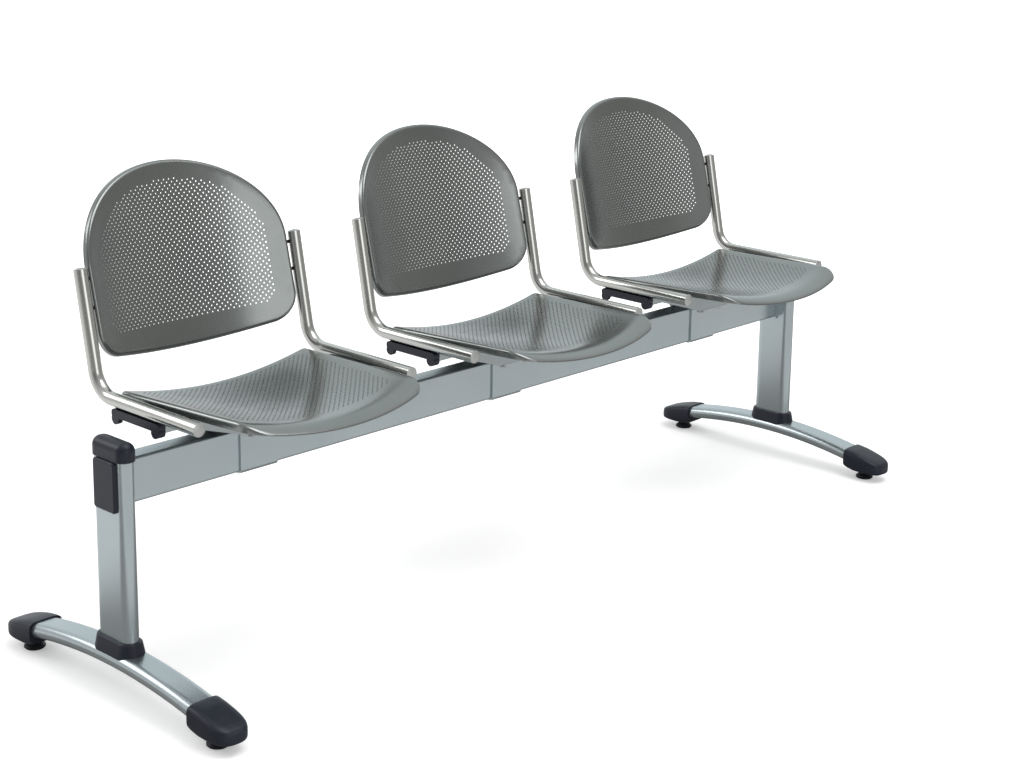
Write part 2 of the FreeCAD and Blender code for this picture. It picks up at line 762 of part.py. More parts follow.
def channel_side(sketch, inset=0):
    """The cross channel seen from the front, or the hollow inside it when inset is its sheet."""
    top = S.channel_top - inset
    shallow = S.channel_top - S.channel_end_depth
    past = S.channel_half + (0 if float(inset) == 0 else 1)
    low = 0 if float(inset) == 0 else -1
    dip_radius = (S.channel_flat * S.channel_flat + S.channel_dip * S.channel_dip) / (2 * S.channel_dip)
    outline(sketch, [
        (-past, top),
        (-past, shallow + low),
        (-S.channel_knee, shallow + low),
        (-S.channel_foot, low),
        (S.channel_foot, low),
        (S.channel_knee, shallow + low),
        (past, shallow + low),
        (past, top),
        (S.channel_flat, top, -(dip_radius + inset)),
        (-S.channel_flat, top),
    ])


def make_channel(name, index):
    """Pressed channel across the seat, open below, deepest where it stands on the bracket."""
    body = new_body(name)
    side = new_sketch(body, name + "_side", "XZ_Plane")
    channel_side(side)
    pad(body, side, S.channel_width, both_ways=True)
    hollow = new_sketch(body, name + "_hollow", "XZ_Plane")
    channel_side(hollow, S.channel_sheet)
    cut(body, hollow, S.channel_width - 2 * S.channel_sheet, both_ways=True)
    feet = new_sketch(body, name + "_feet")
    row = S.beam_depth / 2 + S.bracket_sheet + S.bracket_flange / 2
    lip_inner = S.beam_depth / 2 + 2 * S.bracket_sheet
    lip_outer = S.channel_width / 2
    for way in (-1, 1):
        near, far = (lip_inner, lip_outer) if way > 0 else (-lip_outer, -lip_inner)
        outline(feet, [
            (-S.channel_foot, near),
            (S.channel_foot, near),
            (S.channel_foot, far),
            (-S.channel_foot, far),
        ])
        for x in (-1, 1):
            circle(feet, x * S.bracket_bolt_spacing / 2, way * row, S.bracket_bolt_size / 2 + S.fit_gap)
    pad(body, feet, S.channel_sheet)
    studs = new_sketch(body, name + "_stud_holes", "XY_Plane", S.channel_top / 2)
    for x in (-1, 1):
        for y in (-1, 1):
            across, along = x * S.stud_spacing / 2, y * S.stud_rows / 2
            circle(studs, across, along, S.stud_size / 2 + S.fit_gap)
    cut(body, studs, S.channel_top / 2, backwards=True)
    place(body, index * S.seat_pitch, beam_middle, beam_top)
    return keep(body)


def make_channel_cap(name, index, side):
    """Moulded end cap with two round lobes that hang below the channel."""
    body = new_body(name)
    lap = S.channel_cap_lap
    start = S.channel_half - lap
    bar = new_sketch(body, name + "_bar", "YZ_Plane", start)
    half = S.channel_width / 2
    radius = S.lobe_size / 2
    bar_top = S.channel_top - S.fit_gap / 2
    bar_low = bar_top - S.channel_cap_bar
    bar_middle = (bar_top + bar_low) / 2
    bar_width = S.channel_width + S.lobe_size
    rounded_box(bar, bar_width, S.channel_cap_bar, S.channel_cap_round, y=bar_middle)
    pad(body, bar, lap + S.channel_cap_depth)
    lobes = new_sketch(body, name + "_lobes", "YZ_Plane", start)
    lobe_height = S.channel_top - S.lobe_drop + radius
    for way in (-1, 1):
        circle(lobes, way * half, lobe_height, radius)
    pad(body, lobes, lap + S.channel_cap_depth)
    sleeve = new_sketch(body, name + "_sleeve", "YZ_Plane", start)
    gap = S.fit_gap
    outline(sleeve, [
        (-half - gap, -5),
        (half + gap, -5),
        (half + gap, S.channel_top + 5),
        (-half - gap, S.channel_top + 5),
    ])
    cut(body, sleeve, lap, backwards=True)
    plug = new_sketch(body, name + "_plug", "YZ_Plane", start)
    room = half - S.channel_sheet - gap
    plug_top = S.channel_top - S.channel_sheet - gap
    outline(plug, [
        (-room, bar_low),
        (room, bar_low),
        (room, plug_top),
        (-room, plug_top),
    ])
    pad(body, plug, lap)
    place(body, index * S.seat_pitch, beam_middle, beam_top)
    if side < 0:
        turn_half(body)
    return keep(body)


def make_side_tube(name, index, side):
    """Round tube that runs back under the seat's edge and turns up to carry the backrest."""
    body = new_body(name)
    ring = new_sketch(body, name + "_ring", "XZ_Plane")
    circle(ring, 0, 0, S.tube_size / 2)
    circle(ring, 0, 0, S.tube_size / 2 - S.side_tube_wall)
    path = new_sketch(body, name + "_path", "YZ_Plane")
    lean = math.radians(float(S.tube_lean))
    run, bend = float(S.tube_run), float(S.tube_bend)
    rise = float(S.tube_top - tube_middle_height)
    stop = Vector(run + bend * math.cos(lean), bend - bend * math.sin(lean), 0)
    tip = Vector(stop.x + (rise - stop.y) * math.tan(lean), rise, 0)
    floor = path.addGeometry(Part.LineSegment(Vector(0, 0, 0), Vector(run, 0, 0)))
    ring_of_bend = Part.Circle(Vector(run, bend, 0), Vector(0, 0, 1), bend)
    corner = path.addGeometry(Part.ArcOfCircle(ring_of_bend, -math.pi / 2, -lean))
    stand = path.addGeometry(Part.LineSegment(stop, tip))
    path.addConstraint(Sketcher.Constraint("Coincident", floor, 1, -1, 1))
    path.addConstraint(Sketcher.Constraint("Horizontal", floor))
    path.addConstraint(Sketcher.Constraint("Tangent", floor, 2, corner, 1))
    path.addConstraint(Sketcher.Constraint("Tangent", corner, 2, stand, 1))
    fix_radius(path, corner, S.tube_bend)
    run_rule = path.addConstraint(Sketcher.Constraint("DistanceX", floor, 1, floor, 2, run))
    path.setExpression(f"Constraints[{run_rule}]", words(S.tube_run))
    slope = math.pi / 2 - lean
    lean_rule = path.addConstraint(Sketcher.Constraint("Angle", stand, slope))
    path.setExpression(f"Constraints[{lean_rule}]", f"(90 - {words(S.tube_lean)}) * 1 deg")
    rise_rule = path.addConstraint(Sketcher.Constraint("DistanceY", -1, 1, stand, 2, rise))
    path.setExpression(f"Constraints[{rise_rule}]", words(S.tube_top - tube_middle_height))
    pipe = body.newObject("PartDesign::AdditivePipe", name + "_bent")
    pipe.Profile = ring
    pipe.Spine = path
    holes = new_sketch(body, name + "_holes", "YZ_Plane")
    for height in (S.rivet_low, S.rivet_high):
        y, z = rivet_spot(height)
        hole = Part.Circle(Vector(y - float(S.tube_front), z - float(tube_middle_height), 0),
                           Vector(0, 0, 1), float(S.rivet_size) / 2 + float(S.thread_gap))
        index_of_hole = holes.addGeometry(hole)
        fix_radius(holes, index_of_hole, S.rivet_size / 2 + S.thread_gap)
    cut(body, holes, S.tube_size, backwards=side < 0)
    place(body, index * S.seat_pitch + side * S.tube_spread / 2, S.tube_front, tube_middle_height)
    return keep(body)


def make_plug(name):
    """Plug for a tube end: a slightly domed head and a shank that fills the bore."""
    body = new_body(name)
    sketch = new_sketch(body, name + "_half", "XZ_Plane")
    radius = S.tube_size / 2
    shank = radius - S.side_tube_wall
    dome = (radius * radius + S.plug_crown * S.plug_crown) / (2 * S.plug_crown)
    outline(sketch, [
        (0, -S.plug_length),
        (shank, -S.plug_length),
        (shank, 0),
        (radius, 0, dome),
        (0, S.plug_crown),
    ])
    spin(body, sketch)
    return body


def make_rivets(name, index, side, shell):
    """Two rivets from inside the backrest's rim into a side tube, and the spacers they cross.
    Each head is formed against the inside of the rim, which curves towards the front."""
    rivets = []
    spacers = []
    inner = float(S.back_half_width) - float(S.shell_sheet)
    middle = float(S.tube_spread) / 2
    radius = float(S.rivet_size) / 2
    head_radius = float(S.rivet_head) / 2
    head_height = float(S.rivet_head_height)
    lean = math.radians(float(S.tube_lean))
    slope = Vector(0, math.sin(lean), math.cos(lean))
    bend_end = Vector(
        side * middle,
        float(S.tube_front) + float(S.tube_run) + float(S.tube_bend) * math.cos(lean),
        float(tube_middle_height) + float(S.tube_bend) * (1 - math.sin(lean)),
    )
    tube = Part.makeCylinder(float(S.tube_size) / 2, 400, bend_end, slope)
    for height in (S.rivet_low, S.rivet_high):
        y, z = rivet_spot(height)
        out = Vector(side, 0, 0)
        shank = Part.makeCylinder(radius, middle - inner, Vector(side * inner, y, z), out)
        back = Vector(side * (inner - head_height), y, z)
        head = Part.makeCylinder(head_radius, head_height, back, out)
        head = head.cut(shell)
        rivets.append(shank.fuse(head).removeSplitter())
        start = Vector(side * (inner + float(S.shell_sheet)), y, z)
        ring = Part.makeCylinder(head_radius, middle - inner - float(S.shell_sheet), start, out)
        ring = ring.cut(Part.makeCylinder(radius + float(S.thread_gap), middle, start, out))
        pieces = ring.cut(tube).Solids
        spacers.append(min(pieces, key=lambda piece: abs(piece.CenterOfMass.x)))
    made = []
    for kind, shapes in (("rivet", rivets), ("spacer", spacers)):
        thing = doc.addObject("Part::Feature", f"{kind}s_{name}")
        thing.Shape = Part.makeCompound(shapes)
        thing.Placement.Base = Vector(index * float(S.seat_pitch), 0, 0)
        made.append(thing)
    return made


def make_seat_fixings(name, index):
    """Studs under a seat, and the rubber spacers between the seat and its cross channel."""
    sheet_size = float(S.shell_sheet)
    under = seat_block(sheet_size, sheet_size, 60)
    flat, dip = float(S.channel_flat), float(S.channel_dip)
    radius = (flat * flat + dip * dip) / (2 * dip)
    bottom = float(channel_top) - dip
    axis = Vector(0, -300, bottom + radius)
    above = Part.makeCylinder(radius, 600, axis, Vector(0, 1, 0))
    studs = []
    spacers = []
    for x in (-1, 1):
        for y in (-1, 1):
            spot = Vector(x * float(S.stud_spacing) / 2, float(beam_middle) + y * float(S.stud_rows) / 2, 0)
            post = Part.makeCylinder(float(S.stud_size) / 2, 100, spot + Vector(0, 0, bottom - 12))
            studs.append(post.common(under))
            hole = float(S.stud_size) / 2 + float(S.thread_gap)
            ring = Part.makeCylinder(float(S.spacer_size) / 2, 100, spot + Vector(0, 0, bottom - 12))
            ring = ring.cut(Part.makeCylinder(hole, 100, spot + Vector(0, 0, bottom - 12)))
            spacers.append(ring.common(under).common(above))
    made = []
    for kind, shapes in (("studs", studs), ("pads", spacers)):
        thing = doc.addObject("Part::Feature", f"seat_{kind}_{name}")
        thing.Shape = Part.makeCompound(shapes)
        thing.Placement.Base = Vector(index * float(S.seat_pitch), 0, 0)
        made.append(thing)
    return made


# Shells, which are curved sheets with a rim turned round their edge

def back_wire(inset=0):
    """Bowed lower edge, round corners, straight sides and a half-ellipse dome, facing -Y."""
    half = float(S.back_half_width) - inset
    shoulder = float(S.back_shoulder)
    dome = float(S.back_tall) - inset - shoulder
    corner = float(S.back_corner) - inset
    belly = float(S.back_belly) - inset
    belly_z = float(S.back_belly)
    # the belly's circle holds both corner circles inside it and touches them
    corner_x = half - corner
    corner_z = belly_z - math.sqrt((belly - corner) ** 2 - corner_x ** 2)
    touch = math.atan2(corner_z - belly_z, corner_x)

    def spot(x, z):
        return Vector(x, 0, z)

    def bend(way):
        points = []
        for angle in (touch, touch / 2, 0):
            x = corner_x + corner * math.cos(angle)
            points.append(spot(way * x, corner_z + corner * math.sin(angle)))
        return Part.Arc(*points).toShape()

    touch_x = corner_x + corner * math.cos(touch)
    touch_z = corner_z + corner * math.sin(touch)
    crown = Part.Ellipse(spot(half, shoulder), spot(0, shoulder + dome), spot(0, shoulder))
    edges = [
        Part.Arc(spot(-touch_x, touch_z), spot(0, belly_z - belly), spot(touch_x, touch_z)).toShape(),
        bend(1),
        bend(-1),
        Part.LineSegment(spot(half, corner_z), spot(half, shoulder)).toShape(),
        Part.LineSegment(spot(-half, corner_z), spot(-half, shoulder)).toShape(),
        Part.ArcOfEllipse(crown, 0, math.pi).toShape(),
    ]
    return Part.Wire(Part.__sortEdges__(edges))


def curved_block(inset, front_radius, rear_radius):
    """The backrest's outline cut between two upright cylinders round the sitter."""
    reach = 120
    prism = Part.Face(back_wire(inset)).extrude(Vector(0, 2 * reach, 0))
    prism.translate(Vector(0, -reach, 0))
    axis = Vector(0, -float(S.back_sweep), -50)
    tall = float(S.back_tall) + 100
    rear = Part.makeCylinder(rear_radius, tall, axis)
    front = Part.makeCylinder(front_radius, tall, axis)
    return prism.common(rear).cut(front)


def rivet_depth():
    """Depth at which a rivet's head lies on the flat of the rim, up to its rear edge."""
    sweep, half = float(S.back_sweep), float(S.back_half_width)
    front = math.sqrt(sweep * sweep - half * half) - sweep
    return front + float(S.back_rim) - float(S.rivet_head) / 2


def rivet_spot(height):
    """Y and Z of a rivet, from its height along the backrest's slope."""
    lean = math.radians(float(S.back_lean))
    depth = rivet_depth()
    y = float(S.back_seat_gap) + float(height) * math.sin(lean) + depth * math.cos(lean)
    z = float(S.back_bottom) + float(height) * math.cos(lean) - depth * math.sin(lean)
    return y, z


def back_place(index):
    """Where a backrest stands: leaned back about its lower edge."""
    lean = FreeCAD.Rotation(Vector(1, 0, 0), -float(S.back_lean))
    where = Vector(index * float(S.seat_pitch), float(S.back_seat_gap), float(S.back_bottom))
    return FreeCAD.Placement(where, lean)


def back_shape():
    sweep, sheet_size = float(S.back_sweep), float(S.shell_sheet)
    rim, turn = float(S.back_rim), float(S.back_round)
    outer = curved_block(0, sweep, sweep + rim)
    outer = round_front(outer, sweep, turn)
    inner = curved_block(sheet_size, sweep + sheet_size, sweep + rim + 5)
    inner = round_front(inner, sweep + sheet_size, turn - sheet_size)
    shell = outer.cut(inner)
    for height in (S.rivet_low, S.rivet_high):
        spot = Vector(-2 * float(S.back_half_width), rivet_depth(), float(height))
        reach = 4 * float(S.back_half_width)
        hole = float(S.rivet_size) / 2 + float(S.thread_gap)
        shell = shell.cut(Part.makeCylinder(hole, reach, spot, Vector(1, 0, 0)))
    return shell


def make_shell(name, shape, where):
    thing = doc.addObject("Part::Feature", name)
    thing.Label = name
    thing.Shape = shape
    thing.Placement = where
    return keep(thing)


def round_front(block, radius, turn):
    """Rounds the edges where the block's front face, a cylinder of that radius, meets its sides."""
    wanted = []
    for face in block.Faces:
        surface = face.Surface
        if isinstance(surface, Part.Cylinder) and abs(surface.Radius - radius) < 1e-6:
            if abs(surface.Axis.z) > 0.9 and abs(surface.Center.y + float(S.back_sweep)) < 1e-6:
                wanted += face.Edges
    return block.makeFillet(turn, wanted)


def seat_height(x, y, drop=0):
    """Height of the seat's upper face: side edges rise to the front, and it dips between them."""
    rear, nose = float(S.seat_rear), float(S.seat_nose)
    along = min(max((rear - y) / (rear - nose), -0.2), 1.2)
    side = float(S.seat_side_rear) + along * float(S.seat_side_front - S.seat_side_rear)
    first, middle, last = float(S.seat_dip_rear), float(S.seat_dip_middle), float(S.seat_dip_front)
    bow = 4 * along * (1 - along)
    dip = first + along * (last - first) + bow * (middle - (first + last) / 2)
    across = min(abs(x) / float(S.seat_rear_half), 1.15)
    return side - dip * (1 - across * across) - drop


def seat_block(inset, lift_top, bottom_drop):
    """The seat's plan outline between its upper face lowered by lift_top and a lower copy."""
    steps = 9
    half = float(S.seat_rear_half) + 30
    rear, nose = float(S.seat_rear) + 30, float(S.seat_nose) - 30
    grid = []
    for row in range(steps):
        y = nose + (rear - nose) * row / (steps - 1)
        line = []
        for column in range(steps):
            x = -half + 2 * half * column / (steps - 1)
            line.append(Vector(x, y, seat_height(x, y, lift_top)))
        grid.append(line)
    surface = Part.BSplineSurface()
    surface.interpolate(grid)
    slab = surface.toShape().extrude(Vector(0, 0, -bottom_drop))
    prism = Part.Face(seat_wire(inset)).extrude(Vector(0, 0, 300))
    prism.translate(Vector(0, 0, 300))
    return prism.common(slab)


def seat_wire(inset):
    """Plan of the seat: straight rear edge, sides that close in a little, bowed front."""
    rear_turn = float(S.seat_rear_corner) - inset
    front_turn = float(S.seat_front_corner) - inset
    rear_x = float(S.seat_rear_half) - inset - rear_turn
    rear_y = float(S.seat_rear) - inset - rear_turn
    front_x = float(S.seat_front_half) - inset - front_turn
    front_y = float(S.seat_corner_front)
    nose = float(S.seat_nose) + inset
    # the bow of the front edge holds both front corners inside it and touches them
    reach = front_y - nose
    bow = (front_x ** 2 + reach ** 2 - front_turn ** 2) / (2 * (reach - front_turn))
    bow_y = nose + bow
    # the side is the line that touches a front and a rear corner
    span = math.hypot(rear_x - front_x, rear_y - front_y)
    tilt = -(rear_turn - front_turn) / span
    level = math.sqrt(1 - tilt * tilt)
    along_x, along_y = (rear_x - front_x) / span, (rear_y - front_y) / span
    out_x, out_y = tilt * along_x + level * along_y, tilt * along_y - level * along_x
    touch = math.atan2(front_y - bow_y, front_x)
    side = math.atan2(out_y, out_x)

    def spot(x, y, radius, angle, way):
        return Vector(way * (x + radius * math.cos(angle)), y + radius * math.sin(angle), 0)

    def bend(x, y, radius, first, last, way):
        angles = (first, (first + last) / 2, last)
        return Part.Arc(*[spot(x, y, radius, angle, way) for angle in angles]).toShape()

    edges = [Part.Arc(
        spot(0, bow_y, bow, touch, -1),
        Vector(0, nose, 0),
        spot(0, bow_y, bow, touch, 1),
    ).toShape()]
    for way in (-1, 1):
        edges.append(bend(front_x, front_y, front_turn, touch, side, way))
        low = spot(front_x, front_y, front_turn, side, way)
        high = spot(rear_x, rear_y, rear_turn, side, way)
        edges.append(Part.LineSegment(low, high).toShape())
        edges.append(bend(rear_x, rear_y, rear_turn, side, math.pi / 2, way))
    rear = rear_y + rear_turn
    edges.append(Part.LineSegment(Vector(-rear_x, rear, 0), Vector(rear_x, rear, 0)).toShape())
    return Part.Wire(Part.__sortEdges__(edges))


def seat_shape():
    sheet_size = float(S.shell_sheet)
    rim, turn = float(S.seat_rim), float(S.seat_round)
    outer = round_top(seat_block(0, 0, rim), turn)
    inner = round_top(seat_block(sheet_size, sheet_size, rim + 5), turn - sheet_size)
    return outer.cut(inner)


def seat_place(index):
    return FreeCAD.Placement(Vector(index * float(S.seat_pitch), 0, 0), FreeCAD.Rotation())


def round_top(block, turn):
    """Rounds the edges all round the block's upper face."""
    broad = sorted(block.Faces, key=lambda face: face.Area)[-2:]
    top = max(broad, key=lambda face: face.CenterOfMass.z)
    return block.makeFillet(turn, top.Edges)


SIDES = (("left", -1), ("right", 1))
ENDS = (("front", -1), ("rear", 1))

make_beam()
leg_bolts = []
leg_nuts = []
inserts = []
for side_name, side in SIDES:
    make_end_plate(f"{side_name}_end_plate", side)
    make_upright(f"{side_name}_upright", side)
    make_foot_tube(f"{side_name}_foot_tube", side)
    make_collar(f"{side_name}_collar", side)
    make_top_cap(f"{side_name}_top_cap", side)
    make_side_cover(f"{side_name}_bolt_cover", side)
    for up_name, up in (("lower", -1), ("upper", 1)):
        height = S.beam_bottom + S.beam_height / 2 + up * S.leg_bolt_spacing / 2
        tag = f"{side_name}_{up_name}"
        length = S.upright_width + S.end_plate_thickness + S.leg_bolt_size
        bolt = make_bolt(f"leg_bolt_{tag}", S.leg_bolt_size, length, S.leg_bolt_head)
        place(bolt, side * (upright_middle + S.upright_width / 2), beam_middle, height)
        lay_along_x(bolt, -side)
        leg_bolts.append(bolt)
        nut = make_nut(f"leg_nut_{tag}", S.leg_bolt_size)
        place(nut, side * (upright_face - S.end_plate_thickness), beam_middle, height)
        lay_along_x(nut, -side)
        leg_nuts.append(nut)
    for end_name, way in ENDS:
        make_foot_cap(f"{side_name}_{end_name}_foot_cap", side, way)
        make_glide_pad(f"{side_name}_{end_name}_glide_pad", side, way)
        make_glide_stem(f"{side_name}_{end_name}_glide_stem", side, way)
        inserts.append(make_insert(f"insert_{side_name}_{end_name}", side, way))
group("leg_bolts", leg_bolts)
group("leg_weld_nuts", leg_nuts)
group("glide_inserts", inserts)

bracket_bolts = []
channel_nuts = []
tube_plugs = []
back_rivets = []
back_spacers = []
seat_studs = []
seat_spacers = []
back = back_shape()
seat = seat_shape()
back_in_middle = back.copy()
back_in_middle.Placement = back_place(0)
for number, index in ((1, -1), (2, 0), (3, 1)):
    make_bracket(f"saddle_bracket_{number}", index)
    make_channel(f"cross_channel_{number}", index)
    make_shell(f"back_shell_{number}", back.copy(), back_place(index))
    make_shell(f"seat_shell_{number}", seat.copy(), seat_place(index))
    studs, pads = make_seat_fixings(str(number), index)
    seat_studs.append(studs)
    seat_spacers.append(pads)
    for x in (-1, 1):
        for y in (-1, 1):
            nut = make_nut(f"seat_nut_{number}_{x + 1}{y + 1}", S.stud_size)
            middle = index * S.seat_pitch + x * S.stud_spacing / 2
            lift = channel_top - S.channel_dip - S.channel_sheet - S.stud_size * NUT_HEIGHT - S.fit_gap
            place(nut, middle, beam_middle + y * S.stud_rows / 2, lift)
            channel_nuts.append(nut)
    for side_name, side in SIDES:
        make_side_tube(f"side_tube_{number}_{side_name}", index, side)
        make_channel_cap(f"channel_cap_{number}_{side_name}", index, side)
        rivets, spacers = make_rivets(f"{number}_{side_name}", index, side, back_in_middle)
        back_rivets.append(rivets)
        back_spacers.append(spacers)
        across = index * S.seat_pitch + side * S.tube_spread / 2
        plug = make_plug(f"front_plug_{number}_{side_name}")
        place(plug, across, S.tube_front, tube_middle_height)
        plug.setExpression("Placement.Rotation.Axis.x", "1")
        plug.setExpression("Placement.Rotation.Axis.z", "0")
        plug.setExpression("Placement.Rotation.Angle", "90")
        tube_plugs.append(plug)
        plug = make_plug(f"top_plug_{number}_{side_name}")
        lean = math.radians(float(S.tube_lean))
        rise = S.tube_top - tube_middle_height - S.tube_bend * (1 - math.sin(lean))
        reach = S.tube_front + S.tube_run + S.tube_bend * math.cos(lean) + rise * math.tan(lean)
        place(plug, across, reach, S.tube_top)
        plug.setExpression("Placement.Rotation.Axis.x", "1")
        plug.setExpression("Placement.Rotation.Axis.z", "0")
        plug.setExpression("Placement.Rotation.Angle", words(-S.tube_lean))
        tube_plugs.append(plug)
        for way in (-1, 1):
            tag = f"{number}_{side_name}_{'front' if way < 0 else 'rear'}"
            row = S.beam_depth / 2 + S.bracket_sheet + S.bracket_flange / 2
            x = index * S.seat_pitch + side * S.bracket_bolt_spacing / 2
            y = beam_middle + way * row
            head = S.bracket_bolt_size * HEAD_HEIGHT
            bolt = make_bolt(f"bracket_bolt_{tag}", S.bracket_bolt_size, S.bracket_bolt_length, head)
            place(bolt, x, y, beam_top - S.bracket_sheet)
            bracket_bolts.append(bolt)
            nut = make_nut(f"bracket_nut_{tag}", S.bracket_bolt_size)
            place(nut, x, y, beam_top + S.channel_sheet)
            channel_nuts.append(nut)
group("bracket_bolts", bracket_bolts)
group("channel_nuts", channel_nuts)
group("tube_plugs", tube_plugs)
group("back_rivets", back_rivets)
group("back_spacers", back_spacers)
group("seat_studs", seat_studs)
group("seat_spacers", seat_spacers)

doc.recompute()

for thing in doc.Objects:
    if "Invalid" in thing.State or "Error" in thing.State:
        raise RuntimeError(f"{thing.Name} failed: {thing.State}")
for thing in parts:
    if thing.Shape.isNull() or not thing.Shape.isValid():
        raise RuntimeError(f"{thing.Label} has no valid shape")

os.makedirs("parts", exist_ok=True)
for thing in parts:
    thing.Shape.exportStep(os.path.join("parts", thing.Label + ".step"))
    print(thing.Label, len(thing.Shape.Solids), round(thing.Shape.Volume))
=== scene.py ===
# %% [markdown]
# # A three-seat bench on one beam
# The real object is steel: three pressed and perforated seats with their backrests, bent tubes that
# carry them, and one rectangular beam on two legs with arched feet. The CAD model already has every
# tube, bracket, cap and bolt in its true place, so this lesson loads it and keeps it still. What is
# added here is what CAD left plain: the thousands of small holes, rounder foot caps, the coats and
# the light.

# %% Load the fixed frame
import json
import math

import bpy
import numpy as np
from mathutils import Matrix
from mathutils.geometry import delaunay_2d_cdt


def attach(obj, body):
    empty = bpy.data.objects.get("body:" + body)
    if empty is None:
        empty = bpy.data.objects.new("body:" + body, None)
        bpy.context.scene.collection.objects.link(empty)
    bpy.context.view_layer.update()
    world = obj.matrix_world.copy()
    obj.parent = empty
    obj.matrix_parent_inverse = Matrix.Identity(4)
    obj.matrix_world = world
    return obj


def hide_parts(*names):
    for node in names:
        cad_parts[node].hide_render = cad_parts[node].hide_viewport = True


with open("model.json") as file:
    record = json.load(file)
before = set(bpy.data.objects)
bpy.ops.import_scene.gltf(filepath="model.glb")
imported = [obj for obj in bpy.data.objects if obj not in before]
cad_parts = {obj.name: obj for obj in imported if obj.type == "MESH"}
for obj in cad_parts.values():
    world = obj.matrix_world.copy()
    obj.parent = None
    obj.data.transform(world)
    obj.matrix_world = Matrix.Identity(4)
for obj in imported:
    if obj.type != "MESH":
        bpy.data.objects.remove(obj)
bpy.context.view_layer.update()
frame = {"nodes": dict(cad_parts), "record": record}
slots = {row["node"]: row["material_slot"] for row in frame["record"]["subparts"]}

# %% [markdown]
# ## The camera
# It comes first, so that every later render can be laid beside the photograph. The bench is seen
# from its left end, a little above the backrests. Position, turn and lens were found by matching
# the beam, the feet and the tube ends. A small shift keeps the legs nearly upright in the picture.

# %% Camera
CAMERA_PLACE = np.array([-2.3956, -2.2791, 1.2996])
YAW, PITCH, ROLL = 0.8141, -0.2233, 0.0148
LENS, SENSOR, SHIFT_UP, FARTHEST = 67.0, 36.0, -0.120, 60.0


def camera_axes(yaw, pitch, roll):
    """Right, up and forward of a camera. Forward is (sin y cos p, cos y cos p, sin p), right is
    level, up is right x forward, and the roll turns the first two about the third."""
    forward = np.array([math.sin(yaw) * math.cos(pitch), math.cos(yaw) * math.cos(pitch), math.sin(pitch)])
    level = np.array([math.cos(yaw), -math.sin(yaw), 0.0])
    above = np.cross(level, forward)
    right = math.cos(roll) * level + math.sin(roll) * above
    up = math.cos(roll) * above - math.sin(roll) * level
    return right, up, forward


def stand(thing, right, up, back, place):
    """Turns and places an object by the matrix whose columns are its three axes and its place."""
    turned = np.eye(4)
    turned[:3, 0], turned[:3, 1], turned[:3, 2], turned[:3, 3] = right, up, back, place
    thing.matrix_world = Matrix(turned.tolist())
    bpy.context.scene.collection.objects.link(thing)


right, up, forward = camera_axes(YAW, PITCH, ROLL)
lens = bpy.data.cameras.new("photo_lens")
lens.lens = LENS
lens.sensor_width = SENSOR
lens.shift_y = SHIFT_UP
lens.clip_end = FARTHEST
camera = bpy.data.objects.new("photo_camera", lens)
stand(camera, right, up, -forward, CAMERA_PLACE)
bpy.context.scene.camera = camera
bpy.context.scene.view_settings.view_transform = "Standard"
print("camera at", CAMERA_PLACE.round(2), "lens", lens.lens)

# %% [markdown]
# ## Outlines of the sheets
# A pressed sheet is easiest to describe by its outline and by how high each point of it lies. The
# outlines below are made of arcs and lines that touch each other, so they can be drawn again with
# any inset, which gives the rings that a rounded edge needs. All sizes are in millimetres.

# %% Arcs and closed rings
MM = 0.001


def arc(x, y, radius, first, last, count):
    """Points at equal angles: (x + r cos t, y + r sin t) for t from first to last."""
    turn = np.linspace(first, last, count)
    return np.stack([x + radius * np.cos(turn), y + radius * np.sin(turn)], axis=1)


def line(start, stop, count):
    """Points at equal steps between two ends, which themselves are left out."""
    share = np.linspace(0, 1, count + 2)[1:-1, None]
    return (1 - share) * start + share * stop


def both_halves(half):
    """A ring from its right half, which runs from the lowest point to the highest on x = 0."""
    mirrored = half[1:-1][::-1] * np.array([-1.0, 1.0])
    return np.concatenate([half, mirrored])


# %% Seat outline
SEAT_REAR, SEAT_NOSE = 99.5, -236.5
SEAT_REAR_HALF, SEAT_FRONT_HALF = 186.0, 176.0
SEAT_REAR_TURN, SEAT_FRONT_TURN, SEAT_CORNER_Y = 10.0, 46.0, -174.5


def seat_ring(inset):
    """Plan of the seat: a bow of radius (x^2 + d^2 - r^2) / 2(d - r) in front, round corners, and
    sides that touch a front and a rear corner circle."""
    rear_turn, front_turn = SEAT_REAR_TURN - inset, SEAT_FRONT_TURN - inset
    rear_x, rear_y = SEAT_REAR_HALF - inset - rear_turn, SEAT_REAR - inset - rear_turn
    front_x, nose = SEAT_FRONT_HALF - inset - front_turn, SEAT_NOSE + inset
    reach = SEAT_CORNER_Y - nose
    bow = (front_x ** 2 + reach ** 2 - front_turn ** 2) / (2 * (reach - front_turn))
    span = math.hypot(rear_x - front_x, rear_y - SEAT_CORNER_Y)
    tilt = (front_turn - rear_turn) / span
    along = np.array([rear_x - front_x, rear_y - SEAT_CORNER_Y]) / span
    out = tilt * along + math.sqrt(1 - tilt * tilt) * np.array([along[1], -along[0]])
    touch = math.atan2(SEAT_CORNER_Y - nose - bow, front_x)
    side = math.atan2(out[1], out[0])
    front = arc(0, nose + bow, bow, -math.pi / 2, touch, 24)
    corner = arc(front_x, SEAT_CORNER_Y, front_turn, touch, side, 14)[1:]
    rear = arc(rear_x, rear_y, max(rear_turn, 0.5), side, math.pi / 2, 8)
    flank = line(corner[-1], rear[0], 34)
    back_edge = line(rear[-1], np.array([0.0, rear[-1][1]]), 22)
    end = np.array([[0.0, rear[-1][1]]])
    return both_halves(np.concatenate([front, corner, flank, rear, back_edge, end]))


print("seat ring", seat_ring(0).shape, "spans", np.ptp(seat_ring(0), axis=0).round(1), "mm")

# %% Backrest outline
BACK_HALF, BACK_TALL, BACK_SHOULDER = 197.0, 305.5, 150.0
BACK_CORNER, BACK_BELLY = 46.0, 1480.0


